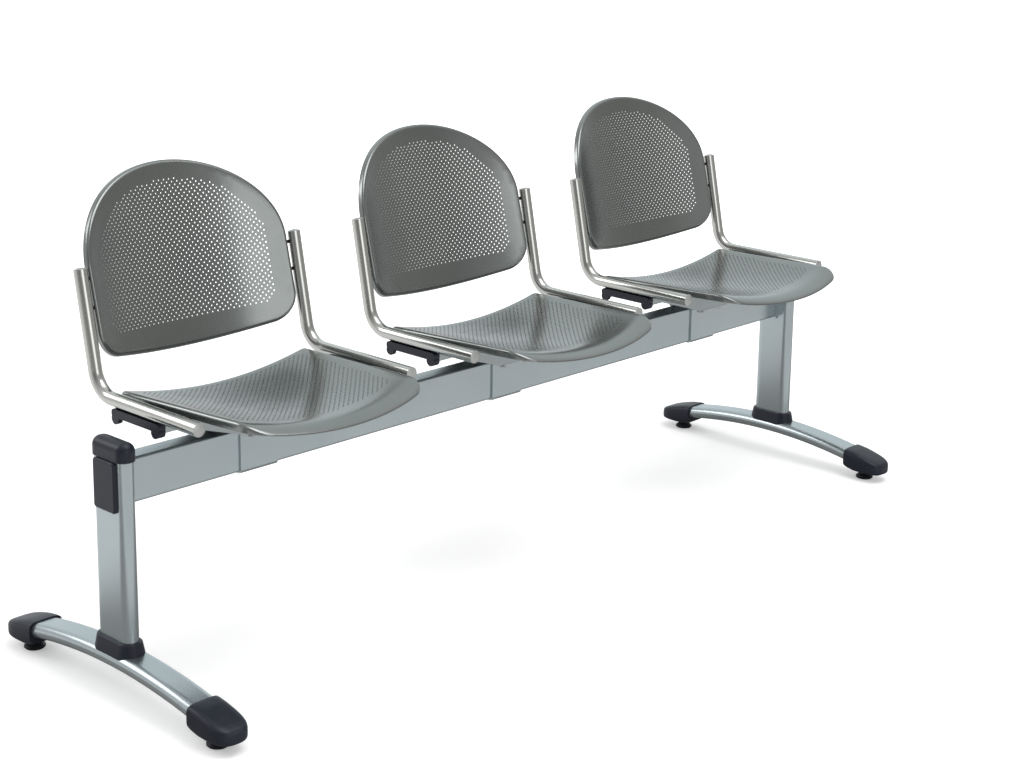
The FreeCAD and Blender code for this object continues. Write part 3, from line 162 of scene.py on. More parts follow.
def back_ring(inset):
    """The backrest laid flat: a belly arc below, round corners, straight sides, and the half
    ellipse (w cos t, shoulder + h sin t) above."""
    half, dome = BACK_HALF - inset, BACK_TALL - inset - BACK_SHOULDER
    corner, belly = BACK_CORNER - inset, BACK_BELLY - inset
    corner_x = half - corner
    corner_y = BACK_BELLY - math.sqrt((belly - corner) ** 2 - corner_x ** 2)
    touch = math.atan2(corner_y - BACK_BELLY, corner_x)
    low = arc(0, BACK_BELLY, belly, -math.pi / 2, touch, 22)
    bend = arc(corner_x, corner_y, corner, touch, 0, 18)[1:]
    crown = arc(0, 0, 1, 0, math.pi / 2, 48) * np.array([half, dome]) + np.array([0, BACK_SHOULDER])
    flank = line(bend[-1], crown[0], 10)
    return both_halves(np.concatenate([low, bend, flank, crown]))


print("back ring", back_ring(0).shape, "spans", np.ptp(back_ring(0), axis=0).round(1), "mm")

# %% [markdown]
# ## How high each point lies
# The seat is a shallow hammock: its sides rise a little towards the front and it dips between them.
# The backrest is bent round the sitter like a piece of a wide upright pipe, and leans back. Both are
# formulas of two parameters, so one call places a whole array of points.

# %% Surfaces
SIDE_REAR, SIDE_FRONT = 445.0, 460.0
DIP_REAR, DIP_MIDDLE, DIP_FRONT = 23.0, 30.0, 22.0
SEAT_RIM, SEAT_BOW, ROLL_RUN, ROLL_RADIUS = 15.0, 582.0, 40.0, 72.0
SWEEP, LEAN = 435.0, math.radians(14)
BACK_Y, BACK_Z = 159.5, 470.5
CHAIRS = {1: -570.0, 2: 0.0, 3: 570.0}


def front_roll(x, y):
    """How far the front rolls down: R - sqrt(R^2 - s^2), s being the way past the line where the
    roll begins, which keeps its distance to the bowed front edge."""
    edge = SEAT_NOSE + x ** 2 / (2 * SEAT_BOW)
    past = np.clip(edge + ROLL_RUN - y, 0, ROLL_RUN)
    return ROLL_RADIUS - np.sqrt(ROLL_RADIUS ** 2 - past ** 2)


def seat_points(plan, drop):
    """Height = side edge - dip (1 - (x / half)^2), less the roll and the drop, where the side edge
    rises evenly to the front and the dip swells half way. The rolled front has the less rim."""
    x, y = plan[..., 0], plan[..., 1]
    share = np.clip((SEAT_REAR - y) / (SEAT_REAR - SEAT_NOSE), -0.2, 1.2)
    side = SIDE_REAR + share * (SIDE_FRONT - SIDE_REAR)
    swell = 4 * share * (1 - share) * (DIP_MIDDLE - (DIP_REAR + DIP_FRONT) / 2)
    dip = DIP_REAR + share * (DIP_FRONT - DIP_REAR) + swell
    across = np.minimum(np.abs(x) / SEAT_REAR_HALF, 1.15)
    roll = front_roll(x, y)
    rim = drop * (1 - roll / SEAT_RIM)
    return np.stack([x, y, side - dip * (1 - across ** 2) - roll - rim], axis=-1)


def back_points(flat, depth):
    """y = sqrt((R + depth)^2 - x^2) - R, then the whole leans back about its lower edge."""
    x, rise = flat[..., 0], flat[..., 1]
    y = np.sqrt((SWEEP + depth) ** 2 - x ** 2) - SWEEP
    world_y = y * math.cos(LEAN) + rise * math.sin(LEAN) + BACK_Y
    world_z = rise * math.cos(LEAN) - y * math.sin(LEAN) + BACK_Z
    return np.stack([x, world_y, world_z], axis=-1)


print("lowest point of a seat", seat_points(np.array([0.0, -60.0]), 0.0).round(1))

# %% [markdown]
# ## The holes
# The sheet is punched before it is pressed, in rows 5.15 mm apart with a hole every 10 mm, every
# other row moved half a step. A plain border is left all round, widest along the front of the seat
# where the sheet rolls over. A bump or a mask could draw the holes, but the light falls through them
# and they show white against the background, so they are real. Eight sides are enough for a 3 mm hole.

# %% Where the holes go
HOLE_STEP, HOLE_ROW, HOLE_SIZE, HOLE_SIDES = 10.0, 5.15, 3.0, 8


def lattice(half_width, low, high):
    """Staggered rows: x = (i + half a step in every other row) * step, y = low + j * row."""
    rows = np.arange(0, int((high - low) / HOLE_ROW) + 1)
    columns = np.arange(-int(half_width / HOLE_STEP) - 1, int(half_width / HOLE_STEP) + 2)
    column, row = np.meshgrid(columns, rows)
    x = (column + 0.5 * (row % 2)) * HOLE_STEP
    return np.stack([x.ravel(), (low + row * HOLE_ROW).ravel()], axis=1)


def octagons(centres):
    """Corners at c + r (cos t, sin t) for eight turns t, as an array (holes, 8, 2)."""
    turn = (np.arange(HOLE_SIDES) + 0.5) * 2 * math.pi / HOLE_SIDES
    spokes = 0.5 * HOLE_SIZE * np.stack([np.cos(turn), np.sin(turn)], axis=1)
    return centres[:, None, :] + spokes[None, :, :]


# %% Punched fields
SEAT_SIDE_BORDER, SEAT_SIDE_WIDENING, SEAT_REAR_BORDER, SEAT_FRONT_BORDER = 20.0, 8.0, 13.0, 60.0
SEAT_FRONT_BOW, SEAT_FRONT_REACH, SEAT_FIELD_TURN = 26.0, 170.0, 22.0
BACK_HALF_FLAT = SWEEP * math.asin(BACK_HALF / SWEEP)
BACK_BORDER, BACK_TOP_BORDER, BACK_LOW_BORDER, FIELD_CORNER = 36.0, 31.0, 34.0, 20.0


def seat_field(spots):
    """Inside a rounded field: side borders that widen to the front, a bowed front border."""
    x, y = np.abs(spots[:, 0]), spots[:, 1]
    share = (SEAT_REAR - y) / (SEAT_REAR - SEAT_NOSE)
    edge = SEAT_REAR_HALF + share * (SEAT_FRONT_HALF - SEAT_REAR_HALF)
    over_side = x - (edge - SEAT_SIDE_BORDER - SEAT_SIDE_WIDENING * share - SEAT_FIELD_TURN)
    over_rear = y - (SEAT_REAR - SEAT_REAR_BORDER - SEAT_FIELD_TURN)
    bowed = SEAT_FRONT_BOW * (x / SEAT_FRONT_REACH) ** 2
    front = SEAT_NOSE + SEAT_FRONT_BORDER + SEAT_FIELD_TURN + bowed
    past = np.maximum(over_rear, front - y)
    return np.hypot(np.maximum(over_side, 0), np.maximum(past, 0)) < SEAT_FIELD_TURN


def back_field(spots):
    """Inside the outline less its plain borders: a half ellipse above, and below it a border that
    follows the bowed edge, with round corners."""
    x, rise = np.abs(spots[:, 0]), spots[:, 1]
    half, dome = BACK_HALF_FLAT - BACK_BORDER, BACK_TALL - BACK_TOP_BORDER - BACK_SHOULDER
    crown = (x / half) ** 2 + (np.maximum(rise - BACK_SHOULDER, 0) / dome) ** 2 < 1
    over_side = x - (half - FIELD_CORNER)
    over_low = BACK_LOW_BORDER + FIELD_CORNER + x ** 2 / (2 * BACK_BELLY) - rise
    corner = np.hypot(np.maximum(over_side, 0), np.maximum(over_low, 0)) < FIELD_CORNER
    return crown & corner


print("the bent backrest is", round(2 * BACK_HALF_FLAT, 1), "mm wide when laid flat")

# %% [markdown]
# ## Sheets with real holes
# Between the outline and the holes the sheet is filled with triangles by Blender's own Delaunay
# function, which keeps given edges. A few loose points in the plain border keep its triangles small,
# so the sheet still bends smoothly there. The triangles inside a hole are then dropped. Round the
# outside, rings with a growing inset and a shrinking depth make the rounded edge and the rim.

# %% Fill a punched sheet
LOOSE_STEP, OFF_EDGE, OFF_HOLE, OFF_RING, FIELD_SHARE = 9.0, 5.0, 5.5, 3.0, 0.965
SAME_POINT, NO_AREA = 1e-7, 1e-6


def nearest(spots, others):
    """How far each spot is from the nearest of the others: sqrt(dx^2 + dy^2), the smallest of it."""
    return np.hypot(*(spots[:, None, :] - others[None, :, :]).transpose(2, 0, 1)).min(axis=1)


def within(spots, ring):
    """Inside a convex ring that runs counter-clockwise: to the left of every one of its edges."""
    step = np.roll(ring, -1, axis=0) - ring
    away = spots[:, None, :] - ring[None, :, :]
    side = step[None, :, 0] * away[:, :, 1] - step[None, :, 1] * away[:, :, 0]
    return side.min(axis=1) > OFF_RING


def punched(ring, centres, inside, low, high, half_width):
    """Layout of a sheet: points (n, 2), of which the ring comes first, and triangles."""
    across, along = np.arange(-half_width, half_width, LOOSE_STEP), np.arange(low, high, LOOSE_STEP)
    loose = np.stack(np.meshgrid(across, along), axis=-1).reshape(-1, 2)
    border = (nearest(loose, ring) > OFF_EDGE) & ~inside(loose * FIELD_SHARE)
    loose = loose[border & within(loose, ring)]
    loose = loose[nearest(loose, centres) > OFF_HOLE]
    points = np.concatenate([ring, octagons(centres).reshape(-1, 2), loose])
    count = len(ring)
    loop = np.stack([np.arange(count), (np.arange(count) + 1) % count], axis=1)
    corner = np.arange(HOLE_SIDES)
    start = count + HOLE_SIDES * np.arange(len(centres))[:, None]
    hole_edges = np.stack([start + corner, start + (corner + 1) % HOLE_SIDES], axis=-1)
    edges = np.concatenate([loop, hole_edges.reshape(-1, 2)])
    made = delaunay_2d_cdt(points.tolist(), edges.tolist(), [], 0, SAME_POINT, True)
    triangles = np.array(made[2])
    origin = np.array([ids[0] for ids in made[3]])
    of_hole = (origin >= count) & (origin < count + HOLE_SIDES * len(centres))
    owner = np.where(of_hole, (origin - count) // HOLE_SIDES, -1)
    who = owner[triangles]
    filled = (who[:, 0] == who[:, 1]) & (who[:, 1] == who[:, 2]) & (who[:, 0] >= 0)
    triangles = origin[triangles[~filled]]
    a, b, c = points[triangles[:, 0]], points[triangles[:, 1]], points[triangles[:, 2]]
    area = (b - a)[:, 0] * (c - a)[:, 1] - (b - a)[:, 1] * (c - a)[:, 0]
    triangles[area < 0] = triangles[area < 0][:, ::-1]
    print(len(centres), "holes,", len(made[0]), "points,", len(triangles), "triangles")
    return points, triangles[np.abs(area) > NO_AREA]


# %% Rim, rounded edge and sheet as one surface
SHEET, SHEET_SHARP = 2.0, 50
EDGE_TURN, EDGE_STEPS, BACK_RIM = 7.0, 7, 13.0
shells = {}


def edge_profile(rim, turn, steps):
    """Inset and depth from the rim's free edge to the sheet: a straight wall, then
    (t - t cos a, t - t sin a) for a from 0 to 90 degrees."""
    angle = np.linspace(0, math.pi / 2, steps)
    bend = np.stack([turn - turn * np.cos(angle), turn - turn * np.sin(angle)], axis=1)
    return np.concatenate([[[0.0, rim]], bend])


def ring_quads(count, rings):
    """Quads between neighbouring rings of the same number of points."""
    step = np.arange(count)
    after = (step + 1) % count
    start = (np.arange(rings - 1) * count)[:, None]
    quads = np.stack([start + step, start + after, start + count + after, start + count + step], axis=-1)
    return quads.reshape(-1, 4)


def sheet_mesh(surface, rings, profile, plan, fill):
    """Points and faces of a sheet: the rings make its rim and rounded edge, the plan the punched
    face, whose own ring is the last of the rings."""
    skirt = surface(rings[:-1], profile[:-1, 1][:, None])
    points = np.concatenate([skirt.reshape(-1, 3), surface(plan, 0.0)])
    count = rings.shape[1]
    shift = (len(rings) - 1) * count
    return points, ring_quads(count, len(rings)).tolist() + (fill + shift).tolist()


def new_object(name, points, faces, body):
    """Puts arrays of points in metres and of faces into a mesh object."""
    mesh = bpy.data.meshes.new(name)
    mesh.from_pydata(points.tolist(), [], faces)
    mesh.shade_smooth()
    piece = bpy.data.objects.new(name, mesh)
    bpy.context.scene.collection.objects.link(piece)
    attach(piece, body)
    return piece


def thicken(piece, wall, angle):
    """Gives a sheet its wall inwards, then keeps the result and marks edges sharper than angle."""
    wall_maker = piece.modifiers.new("wall", "SOLIDIFY")
    wall_maker.thickness = wall * MM
    wall_maker.offset = -1
    graph = bpy.context.evaluated_depsgraph_get()
    mesh = bpy.data.meshes.new_from_object(piece.evaluated_get(graph))
    piece.modifiers.clear()
    piece.data = mesh
    mesh.name = piece.name
    mesh.shade_smooth()
    mesh.set_sharp_from_angle(angle=math.radians(angle))


# %% Seats
SEAT_FIELD_HALF, SEAT_FIRST_ROW, SEAT_LAST_ROW = 180.0, SEAT_NOSE + 40, SEAT_REAR - 8
SEAT_GRID_HALF = 190.0
profile = edge_profile(SEAT_RIM, EDGE_TURN, EDGE_STEPS)
rings = np.stack([seat_ring(inset) for inset, depth in profile])
spots = lattice(SEAT_FIELD_HALF, SEAT_FIRST_ROW, SEAT_LAST_ROW)
spots = spots[seat_field(spots)]
plan, fill = punched(rings[-1], spots, seat_field, SEAT_NOSE, SEAT_REAR, SEAT_GRID_HALF)
points, faces = sheet_mesh(seat_points, rings, profile, plan, fill)
for number, middle in CHAIRS.items():
    placed = (points + np.array([middle, 0, 0])) * MM
    piece = new_object(f"punched_seat_{number}", placed, faces, "bench")
    thicken(piece, SHEET, SHEET_SHARP)
    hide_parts(f"seat_shell_{number}")
    shells[piece.name] = piece
print("seat shells have", len(piece.data.polygons), "faces each")

# %% Backrests
BACK_FIELD_HALF, BACK_FIRST_ROW, BACK_GRID_HALF = 190.0, 46.0, 205.0
profile = edge_profile(BACK_RIM, EDGE_TURN, EDGE_STEPS)
rings = np.stack([back_ring(inset) for inset, depth in profile])
laid = rings[-1].copy()
laid[:, 0] = SWEEP * np.arcsin(laid[:, 0] / SWEEP)
spots = lattice(BACK_FIELD_HALF, BACK_FIRST_ROW, BACK_TALL)
spots = spots[back_field(spots)]
plan, fill = punched(laid, spots, back_field, 0, BACK_TALL, BACK_GRID_HALF)
bent = plan.copy()
bent[:, 0] = SWEEP * np.sin(plan[:, 0] / SWEEP)
points, faces = sheet_mesh(back_points, rings, profile, bent, fill)
for number, middle in CHAIRS.items():
    placed = (points + np.array([middle, 0, 0])) * MM
    piece = new_object(f"punched_back_{number}", placed, faces, "bench")
    thicken(piece, SHEET, SHEET_SHARP)
    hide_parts(f"back_shell_{number}")
    shells[piece.name] = piece
print("backrest shells have", len(piece.data.polygons), "faces each")

# %% [markdown]
# ## The moulded shoes of the feet
# In CAD the four foot caps are blocks with filleted edges. The moulded ones are rounder: each section
# across the foot is a superellipse, and the sections narrow to a round nose. One array holds every
# section of a cap, and the four caps differ only by where they stand and which way they point.

# %% Foot caps
CAP_WAY = np.array([204.0, 210.0, 226.0, 240.0, 256.0, 270.0, 280.0, 286.0])
CAP_TOP = np.array([59.0, 59.0, 56.8, 53.5, 49.0, 44.5, 40.0, 34.0])
CAP_LOW = np.array([22.0, 18.5, 15.3, 15.0, 15.0, 15.4, 16.5, 19.0])
CAP_HALF, NOSE_FROM, CAP_POWER, NOSE_POWER = 30.5, 238.0, 4.6, 3.0
CAP_SECTIONS, CAP_CORNERS, CAP_SHARP, NOSE_GAP, LEG_X = 30, 64, 60, 0.02, 838.0
CAPS = [(side, way) for side in (-1, 1) for way in (-1, 1)]


def shoe(sections, corners):
    """Sections at y = start + (nose - start) sin(u), so that they lie closer at the nose. In each,
    x = w c^(2/n) and z = middle + h s^(2/n), with w = W (1 - past^m)^(1/m) over the blunt nose."""
    u = np.linspace(0, math.pi / 2 - NOSE_GAP, sections)
    y = CAP_WAY[0] + (CAP_WAY[-1] - CAP_WAY[0]) * np.sin(u)
    top, low = np.interp(y, CAP_WAY, CAP_TOP), np.interp(y, CAP_WAY, CAP_LOW)
    past = np.clip((y - NOSE_FROM) / (CAP_WAY[-1] - NOSE_FROM), 0, 1)
    half = CAP_HALF * (1 - past ** NOSE_POWER) ** (1 / NOSE_POWER)
    turn = np.arange(corners) * 2 * math.pi / corners
    across = np.sign(np.cos(turn)) * np.abs(np.cos(turn)) ** (2 / CAP_POWER)
    rise = np.sign(np.sin(turn)) * np.abs(np.sin(turn)) ** (2 / CAP_POWER)
    x = half[:, None] * across
    z = (top + low)[:, None] / 2 + (top - low)[:, None] / 2 * rise
    return np.stack([x, np.broadcast_to(y[:, None], x.shape), z], axis=-1)


rings = shoe(CAP_SECTIONS, CAP_CORNERS)
for side, way in CAPS:
    points = rings.reshape(-1, 3) * np.array([1, way, 1]) + np.array([side * LEG_X, 0, 0])
    faces = ring_quads(CAP_CORNERS, len(rings))
    faces = faces if way < 0 else faces[:, ::-1]
    ends = [list(range(CAP_CORNERS)), list(range(len(points) - CAP_CORNERS, len(points)))[::-1]]
    ends = ends if way > 0 else [end[::-1] for end in ends]
    tag = f"{'left' if side < 0 else 'right'}_{'front' if way < 0 else 'rear'}"
    piece = new_object(f"{tag}_shoe", points * MM, faces.tolist() + ends, "bench")
    piece.data.set_sharp_from_angle(angle=math.radians(CAP_SHARP))
    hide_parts(f"{tag}_foot_cap")
    shells[piece.name] = piece
print("foot caps have", len(piece.data.polygons), "faces each")

# %% [markdown]
# ## Finishes
# Nearly everything is coated steel, so the effects are shared. Each is a small node group that puts
# out masks and heights, and every material wires them to its own Principled shader with its own
# values. All of them read Object coordinates in metres, so the grain has its true size everywhere.

# %% Node helpers
def new_group(name, inputs, outputs):
    group = bpy.data.node_groups.new(name, "ShaderNodeTree")
    for label, value in inputs.items():
        socket = group.interface.new_socket(label, in_out="INPUT", socket_type="NodeSocketFloat")
        socket.default_value = value
    for label in outputs:
        group.interface.new_socket(label, in_out="OUTPUT", socket_type="NodeSocketFloat")
    source, sink = group.nodes.new("NodeGroupInput"), group.nodes.new("NodeGroupOutput")
    return group, source, sink


def noise(tree, vector, scale, detail, rough=0.5):
    node = tree.nodes.new("ShaderNodeTexNoise")
    for label, number in (("Scale", scale), ("Detail", detail), ("Roughness", rough)):
        node.inputs[label].default_value = number
    tree.links.new(vector, node.inputs["Vector"])
    return node.outputs["Fac"]


def spread(tree, value, low, high, to_low=0.0, to_high=1.0):
    """Maps a value from one range to another, and holds it inside."""
    node = tree.nodes.new("ShaderNodeMapRange")
    tree.links.new(value, node.inputs["Value"])
    for label, number in zip(("From Min", "From Max", "To Min", "To Max"), (low, high, to_low, to_high)):
        node.inputs[label].default_value = number
    return node.outputs["Result"]


def maths(tree, kind, first, second=0.0):
    node = tree.nodes.new("ShaderNodeMath")
    node.operation = kind
    for socket, value in zip(node.inputs, (first, second)):
        if isinstance(value, (int, float)):
            socket.default_value = value
        else:
            tree.links.new(value, socket)
    return node.outputs[0]


# %% Powder coat: a slow change of tone with very fine flecks, and soft handling marks
TONE_SCALE, FLECK_SCALE, WIPE_SCALE, FLECK_SHARE = 5.0, 2600.0, 17.0, 0.08
coat, source, sink = new_group("powder_coat", {"Marks": 1.0}, ["Tone", "Marks"])
place = coat.nodes.new("ShaderNodeTexCoord").outputs["Object"]
tone = maths(coat, "MULTIPLY", noise(coat, place, TONE_SCALE, 2.0), 1 - FLECK_SHARE)
fleck = maths(coat, "MULTIPLY", noise(coat, place, FLECK_SCALE, 1.0), FLECK_SHARE)
coat.links.new(spread(coat, maths(coat, "ADD", tone, fleck), 0.3, 0.7), sink.inputs["Tone"])
wipes = spread(coat, noise(coat, place, WIPE_SCALE, 4.0, 0.62), 0.46, 0.72)
coat.links.new(maths(coat, "MULTIPLY", wipes, source.outputs["Marks"]), sink.inputs["Marks"])

# %% Settled dust: on faces that look up, thicker near the floor
DUST_SCALE, DUST_TOP, DUST_HIGH_UP = 60.0, 0.5, 0.35
dust, source, sink = new_group("settled_dust", {"Amount": 1.0}, ["Mask"])
place = dust.nodes.new("ShaderNodeTexCoord").outputs["Object"]
normal = dust.nodes.new("ShaderNodeNewGeometry").outputs["Normal"]
split = dust.nodes.new("ShaderNodeSeparateXYZ")
dust.links.new(normal, split.inputs[0])
height = dust.nodes.new("ShaderNodeSeparateXYZ")
dust.links.new(place, height.inputs[0])
upward = spread(dust, split.outputs["Z"], 0.35, 0.95)
low_down = spread(dust, height.outputs["Z"], 0.0, DUST_TOP, 1.0, DUST_HIGH_UP)
patchy = spread(dust, noise(dust, place, DUST_SCALE, 5.0, 0.6), 0.35, 0.7)
mask = maths(dust, "MULTIPLY", maths(dust, "MULTIPLY", upward, low_down), patchy)
dust.links.new(maths(dust, "MULTIPLY", mask, source.outputs["Amount"]), sink.inputs["Mask"])

# %% Moulded grain: the fine leathery texture of plastic caps, with a few scuffs
SCUFF_SCALE = 45.0
mould, source, sink = new_group("moulded_grain", {"Grain": 1500.0}, ["Scuffs", "Height"])
place = mould.nodes.new("ShaderNodeTexCoord").outputs["Object"]
cells = mould.nodes.new("ShaderNodeTexVoronoi")
cells.feature = "SMOOTH_F1"
mould.links.new(place, cells.inputs["Vector"])
mould.links.new(source.outputs["Grain"], cells.inputs["Scale"])
mould.links.new(cells.outputs["Distance"], sink.inputs["Height"])
scuffs = spread(mould, noise(mould, place, SCUFF_SCALE, 6.0, 0.7), 0.58, 0.76)
mould.links.new(scuffs, sink.inputs["Scuffs"])
print("effects:", [group.name for group in bpy.data.node_groups])


# %% Materials of coated steel
def mix_colour(tree, share, dark, pale):
    node = tree.nodes.new("ShaderNodeMix")
    node.data_type = "RGBA"
    tree.links.new(share, node.inputs["Factor"])
    for socket, value in ((node.inputs[6], dark), (node.inputs[7], pale)):
        if isinstance(value, tuple):
            socket.default_value = (*value, 1.0)
        else:
            tree.links.new(value, socket)
    return node.outputs[2]


def use(tree, group, **values):
    node = tree.nodes.new("ShaderNodeGroup")
    node.node_tree = group
    for label, number in values.items():
        node.inputs[label].default_value = number
    return node.outputs


def new_material(name, metallic):
    material = bpy.data.materials.new(name)
    material.use_nodes = True
    shader = material.node_tree.nodes["Principled BSDF"]
    shader.inputs["Metallic"].default_value = metallic
    return material, material.node_tree, shader


LIGHT_DUST = 0.1
STEEL_DUST, STEEL_DUST_SHARE, STEEL_DUST_DULL, MARK_DULL = (0.42, 0.41, 0.39), 0.35, 0.25, 0.14


def coated(name, dark, pale, metallic, rough, marks):
    """Coated steel: tone and marks from the powder coat, dust where it faces up."""
    material, tree, shader = new_material(name, metallic)
    effect = use(tree, coat, Marks=marks)
    film = use(tree, dust, Amount=LIGHT_DUST)["Mask"]
    colour = mix_colour(tree, effect["Tone"], dark, pale)
    dusted = mix_colour(tree, maths(tree, "MULTIPLY", film, STEEL_DUST_SHARE), colour, STEEL_DUST)
    tree.links.new(dusted, shader.inputs["Base Color"])
    worn = maths(tree, "MULTIPLY", effect["Marks"], MARK_DULL)
    gloss = maths(tree, "ADD", worn, maths(tree, "MULTIPLY", film, STEEL_DUST_DULL))
    tree.links.new(maths(tree, "ADD", gloss, rough), shader.inputs["Roughness"])
    return material


# Darker and paler colour, metallic, roughness, handling marks.
STEELS = {
    "frame_paint": ((0.40, 0.455, 0.473), (0.44, 0.49, 0.508), 0.88, 0.25, 0.0),
    "seat_paint": ((0.205, 0.222, 0.217), (0.245, 0.258, 0.25), 0.92, 0.21, 0.35),
    "tube_steel": ((0.50, 0.51, 0.49), (0.54, 0.545, 0.52), 1.0, 0.2, 0.1),
    "channel_paint": ((0.34, 0.375, 0.385), (0.38, 0.415, 0.42), 0.85, 0.3, 0.0),
    "bright_plug": ((0.38, 0.39, 0.38), (0.43, 0.44, 0.43), 0.5, 0.4, 0.3),
    "zinc_steel": ((0.30, 0.30, 0.29), (0.38, 0.38, 0.36), 0.95, 0.3, 0.3),
}
finishes = {name: coated(name, *values) for name, values in STEELS.items()}
print("coated:", sorted(finishes))


# %% Materials of plastic and rubber
MOULD_DUST, MOULD_DUST_SHARE, SCUFF_DULL = (0.30, 0.29, 0.27), 0.3, 0.12
MOULD_SPECULAR, GRAIN_STRENGTH = 0.35, 0.3


def moulded(name, dark, pale, rough, grain, depth):
    """Moulded plastic: fine grain, pale scuffs, dust where it faces up."""
    material, tree, shader = new_material(name, 0.0)
    shader.inputs["Specular IOR Level"].default_value = MOULD_SPECULAR
    effect = use(tree, mould, Grain=grain)
    film = use(tree, dust, Amount=LIGHT_DUST)["Mask"]
    colour = mix_colour(tree, effect["Scuffs"], dark, pale)
    dusted = mix_colour(tree, maths(tree, "MULTIPLY", film, MOULD_DUST_SHARE), colour, MOULD_DUST)
    tree.links.new(dusted, shader.inputs["Base Color"])
    gloss = maths(tree, "ADD", maths(tree, "MULTIPLY", effect["Scuffs"], SCUFF_DULL), rough)
    tree.links.new(gloss, shader.inputs["Roughness"])
    grained = tree.nodes.new("ShaderNodeBump")
    grained.inputs["Strength"].default_value = GRAIN_STRENGTH
    grained.inputs["Distance"].default_value = depth
    tree.links.new(effect["Height"], grained.inputs["Height"])
    tree.links.new(grained.outputs["Normal"], shader.inputs["Normal"])
    return material


# Darker and paler colour, roughness, grains per metre, depth of the grain.
PLASTICS = {
    "cap_plastic": ((0.007, 0.010, 0.020), (0.012, 0.015, 0.028), 0.40, 1400.0, 0.00006),
    "glide_plastic": ((0.010, 0.011, 0.016), (0.016, 0.018, 0.024), 0.45, 1200.0, 0.00008),
    "rubber": ((0.012, 0.012, 0.012), (0.02, 0.02, 0.02), 0.7, 900.0, 0.0001),
}
finishes.update({name: moulded(name, *values) for name, values in PLASTICS.items()})
print("moulded:", sorted(PLASTICS))

# %% Dress every piece
for name, node in frame["nodes"].items():
    for holder in node.material_slots:
        holder.material = finishes[slots[name]]
for name, piece in shells.items():
    piece.data.materials.clear()
    piece.data.materials.append(finishes["cap_plastic" if name.endswith("shoe") else "seat_paint"])
print("dressed", len(frame["nodes"]), "nodes and", len(shells), "sheets and foot caps")

# %% [markdown]
# ## Floor and light
# The bench stands on white. The floor is a wide pale sheet that keeps its shadow and glows to the
# camera, more so farther away. To reflections it shows painted shade: it is darker under the bench
# and in front of it. The world is white to the camera, dim with a few broad bright patches to
# reflections, and an even gentle light to surfaces. Three soft lamps, in front, behind on the left and
# above, do the rest.

# %% Floor
FLOOR_REACH, FLOOR_DROP = 14.0, 0.0004
NEAR_WHITE, GLOW_FROM, GLOW_FULL = 0.30, 1.2, 2.6
# Painted shade seen only in reflections: under the bench and far in front of it, the floor turns towards
# the second, darker colour.
UNDER_FROM, UNDER_CLEAR = 0.26, 0.44
FRONT_FULL, FRONT_FROM, FRONT_SHARE = -0.90, -0.45, 0.42
PALE_FLOOR, PAINTED_SHADE_FLOOR = (0.94, 0.94, 0.94), (0.34, 0.33, 0.32)
ground = bpy.data.meshes.new("floor")
square = np.array([[-1, -1, 0], [1, -1, 0], [1, 1, 0], [-1, 1, 0]], float) * FLOOR_REACH
ground.from_pydata((square - [0, 0, FLOOR_DROP]).tolist(), [], [[0, 1, 2, 3]])
floor = bpy.data.objects.new("floor", ground)
bpy.context.scene.collection.objects.link(floor)
pale, tree, shader = new_material("pale_floor", 0.0)
shader.inputs["Roughness"].default_value = 0.9
shader.inputs["Specular IOR Level"].default_value = 0.1
place = tree.nodes.new("ShaderNodeTexCoord").outputs["Object"]
measure = tree.nodes.new("ShaderNodeVectorMath")
measure.operation = "LENGTH"
tree.links.new(place, measure.inputs[0])
white = spread(tree, measure.outputs["Value"], GLOW_FROM, GLOW_FULL, NEAR_WHITE, 1.0)
middle = tree.nodes.new("ShaderNodeSeparateXYZ")
tree.links.new(place, middle.inputs[0])
along = middle.outputs["Y"]
# Painted shade for reflections only: glossy rays see the floor darker under the bench and far in front of
# it, which paints dark bands into the metal.
painted_shade_under = spread(tree, maths(tree, "ABSOLUTE", along), UNDER_FROM, UNDER_CLEAR, 1.0, 0.0)
painted_shade_ahead = spread(tree, along, FRONT_FULL, FRONT_FROM, FRONT_SHARE, 0.0)
path = tree.nodes.new("ShaderNodeLightPath").outputs
painted_shade = maths(tree, "MULTIPLY", maths(tree, "MAXIMUM", painted_shade_under, painted_shade_ahead), path["Is Glossy Ray"])
tree.links.new(mix_colour(tree, painted_shade, PALE_FLOOR, PAINTED_SHADE_FLOOR), shader.inputs["Base Color"])
glow = tree.nodes.new("ShaderNodeEmission")
tree.links.new(maths(tree, "MULTIPLY", white, path["Is Camera Ray"]), glow.inputs["Strength"])
both = tree.nodes.new("ShaderNodeAddShader")
tree.links.new(shader.outputs[0], both.inputs[0])
tree.links.new(glow.outputs[0], both.inputs[1])
tree.links.new(both.outputs[0], tree.nodes["Material Output"].inputs["Surface"])
ground.materials.append(pale)

# %% World
# Each patch: direction, cosine where it starts, cosine where it is full, strength.
REAR_RIGHT = ((0.70, 0.66, 0.30), 0.5, 0.97, 0.85)
REAR_LEFT = ((-0.75, 0.66, 0.05), 0.55, 0.97, 0.50)
OVERHEAD = ((0.0, 0.0, 1.0), 0.4, 0.95, 0.45)
AHEAD = ((-0.15, -1.0, 0.2), 0.80, 0.98, 0.25)
FRONT_RIGHT = ((0.75, -0.65, 0.14), 0.60, 0.95, 0.16)
WARM_PATCH = ((0.78, -0.62, 0.1), 0.7, 0.98, 1.0)
NEUTRAL, WARM, COOL = (1.0, 1.0, 1.0), (1.0, 0.98, 0.95), (0.88, 0.97, 1.0)
ALL_ROUND, ON_SURFACES = 0.26, 0.70
world = bpy.data.worlds.new("studio")
bpy.context.scene.world = world
world.use_nodes = True
tree = world.node_tree
back = tree.nodes["Background"]
path = tree.nodes.new("ShaderNodeLightPath").outputs
ray = tree.nodes.new("ShaderNodeTexCoord").outputs["Generated"]


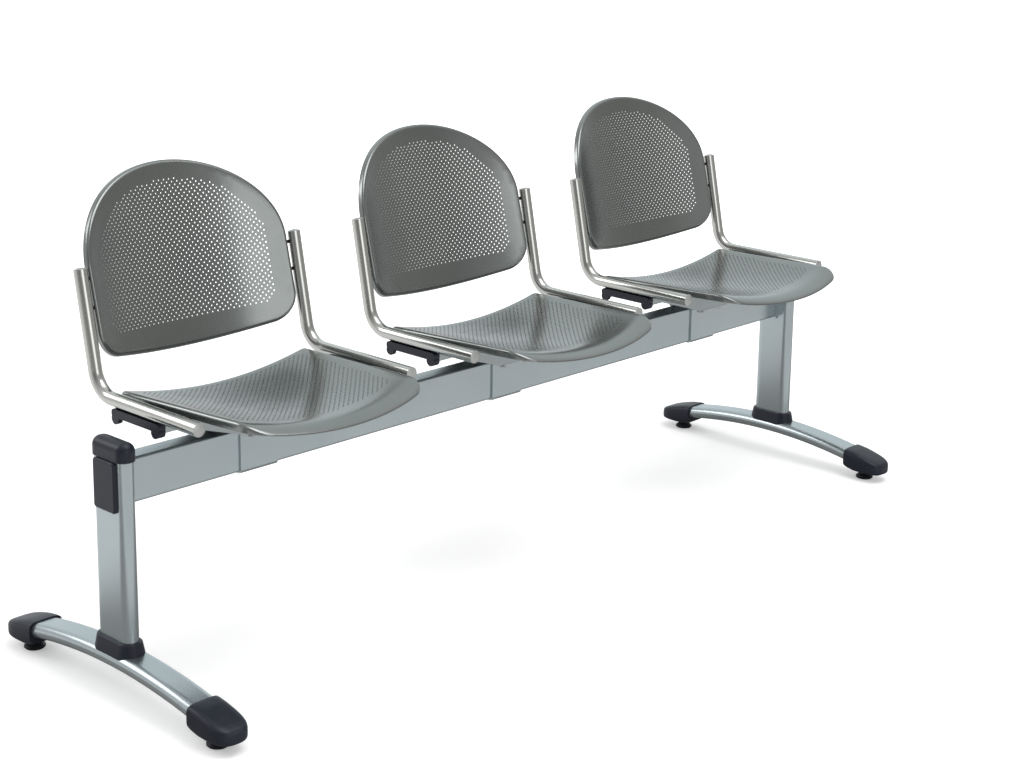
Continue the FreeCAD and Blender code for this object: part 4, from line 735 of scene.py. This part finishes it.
def toward(tree, direction, low, high, gain):
    """Gain times how nearly a ray runs along a direction, from none at low to all at high."""
    node = tree.nodes.new("ShaderNodeVectorMath")
    node.operation = "DOT_PRODUCT"
    tree.links.new(ray, node.inputs[0])
    node.inputs[1].default_value = np.array(direction) / np.linalg.norm(direction)
    return spread(tree, node.outputs["Value"], low, high, 0.0, gain)


behind = toward(tree, *REAR_RIGHT)
mirrored = behind
for patch in (REAR_LEFT, OVERHEAD, AHEAD, FRONT_RIGHT):
    mirrored = maths(tree, "ADD", mirrored, toward(tree, *patch))
mirrored = maths(tree, "MINIMUM", maths(tree, "ADD", mirrored, ALL_ROUND), 1.0)
clear = maths(tree, "MAXIMUM", path["Is Camera Ray"], path["Is Transmission Ray"])
shiny = maths(tree, "MULTIPLY", path["Is Glossy Ray"], mirrored)
rest = maths(tree, "MULTIPLY", path["Is Diffuse Ray"], ON_SURFACES)
strength = maths(tree, "ADD", maths(tree, "ADD", clear, shiny), rest)
warmed = maths(tree, "MULTIPLY", path["Is Glossy Ray"], toward(tree, *WARM_PATCH))
cooled = maths(tree, "MULTIPLY", path["Is Glossy Ray"], behind)
tint = mix_colour(tree, cooled, mix_colour(tree, warmed, NEUTRAL, WARM), COOL)
tree.links.new(tint, back.inputs["Color"])
tree.links.new(strength, back.inputs["Strength"])


# %% Lamps
# Each lamp: place, the point it looks at, size, power.
LAMPS = {
    "front_soft": ((-0.95, -3.9, 1.25), (-0.2, 0, 0.4), (2.2, 1.6), 15),
    "left_soft": ((-2.7, 3.3, 3.0), (0, 0, 0.4), (2.2, 2.2), 50),
    "high_soft": ((0.4, -1.2, 4.6), (0, 0, 0.4), (3.0, 3.0), 85),
}


def lamp(name, place, target, size, power):
    data = bpy.data.lights.new(name, "AREA")
    data.shape = "RECTANGLE"
    data.size, data.size_y = size
    data.energy = power
    thing = bpy.data.objects.new(name, data)
    away = np.array(place, float) - np.array(target, float)
    away /= np.linalg.norm(away)
    side = np.cross([0, 0, 1.0], away)
    side /= np.linalg.norm(side)
    stand(thing, side, np.cross(away, side), away, place)


for name, values in LAMPS.items():
    lamp(name, *values)
print("lamps:", list(LAMPS))
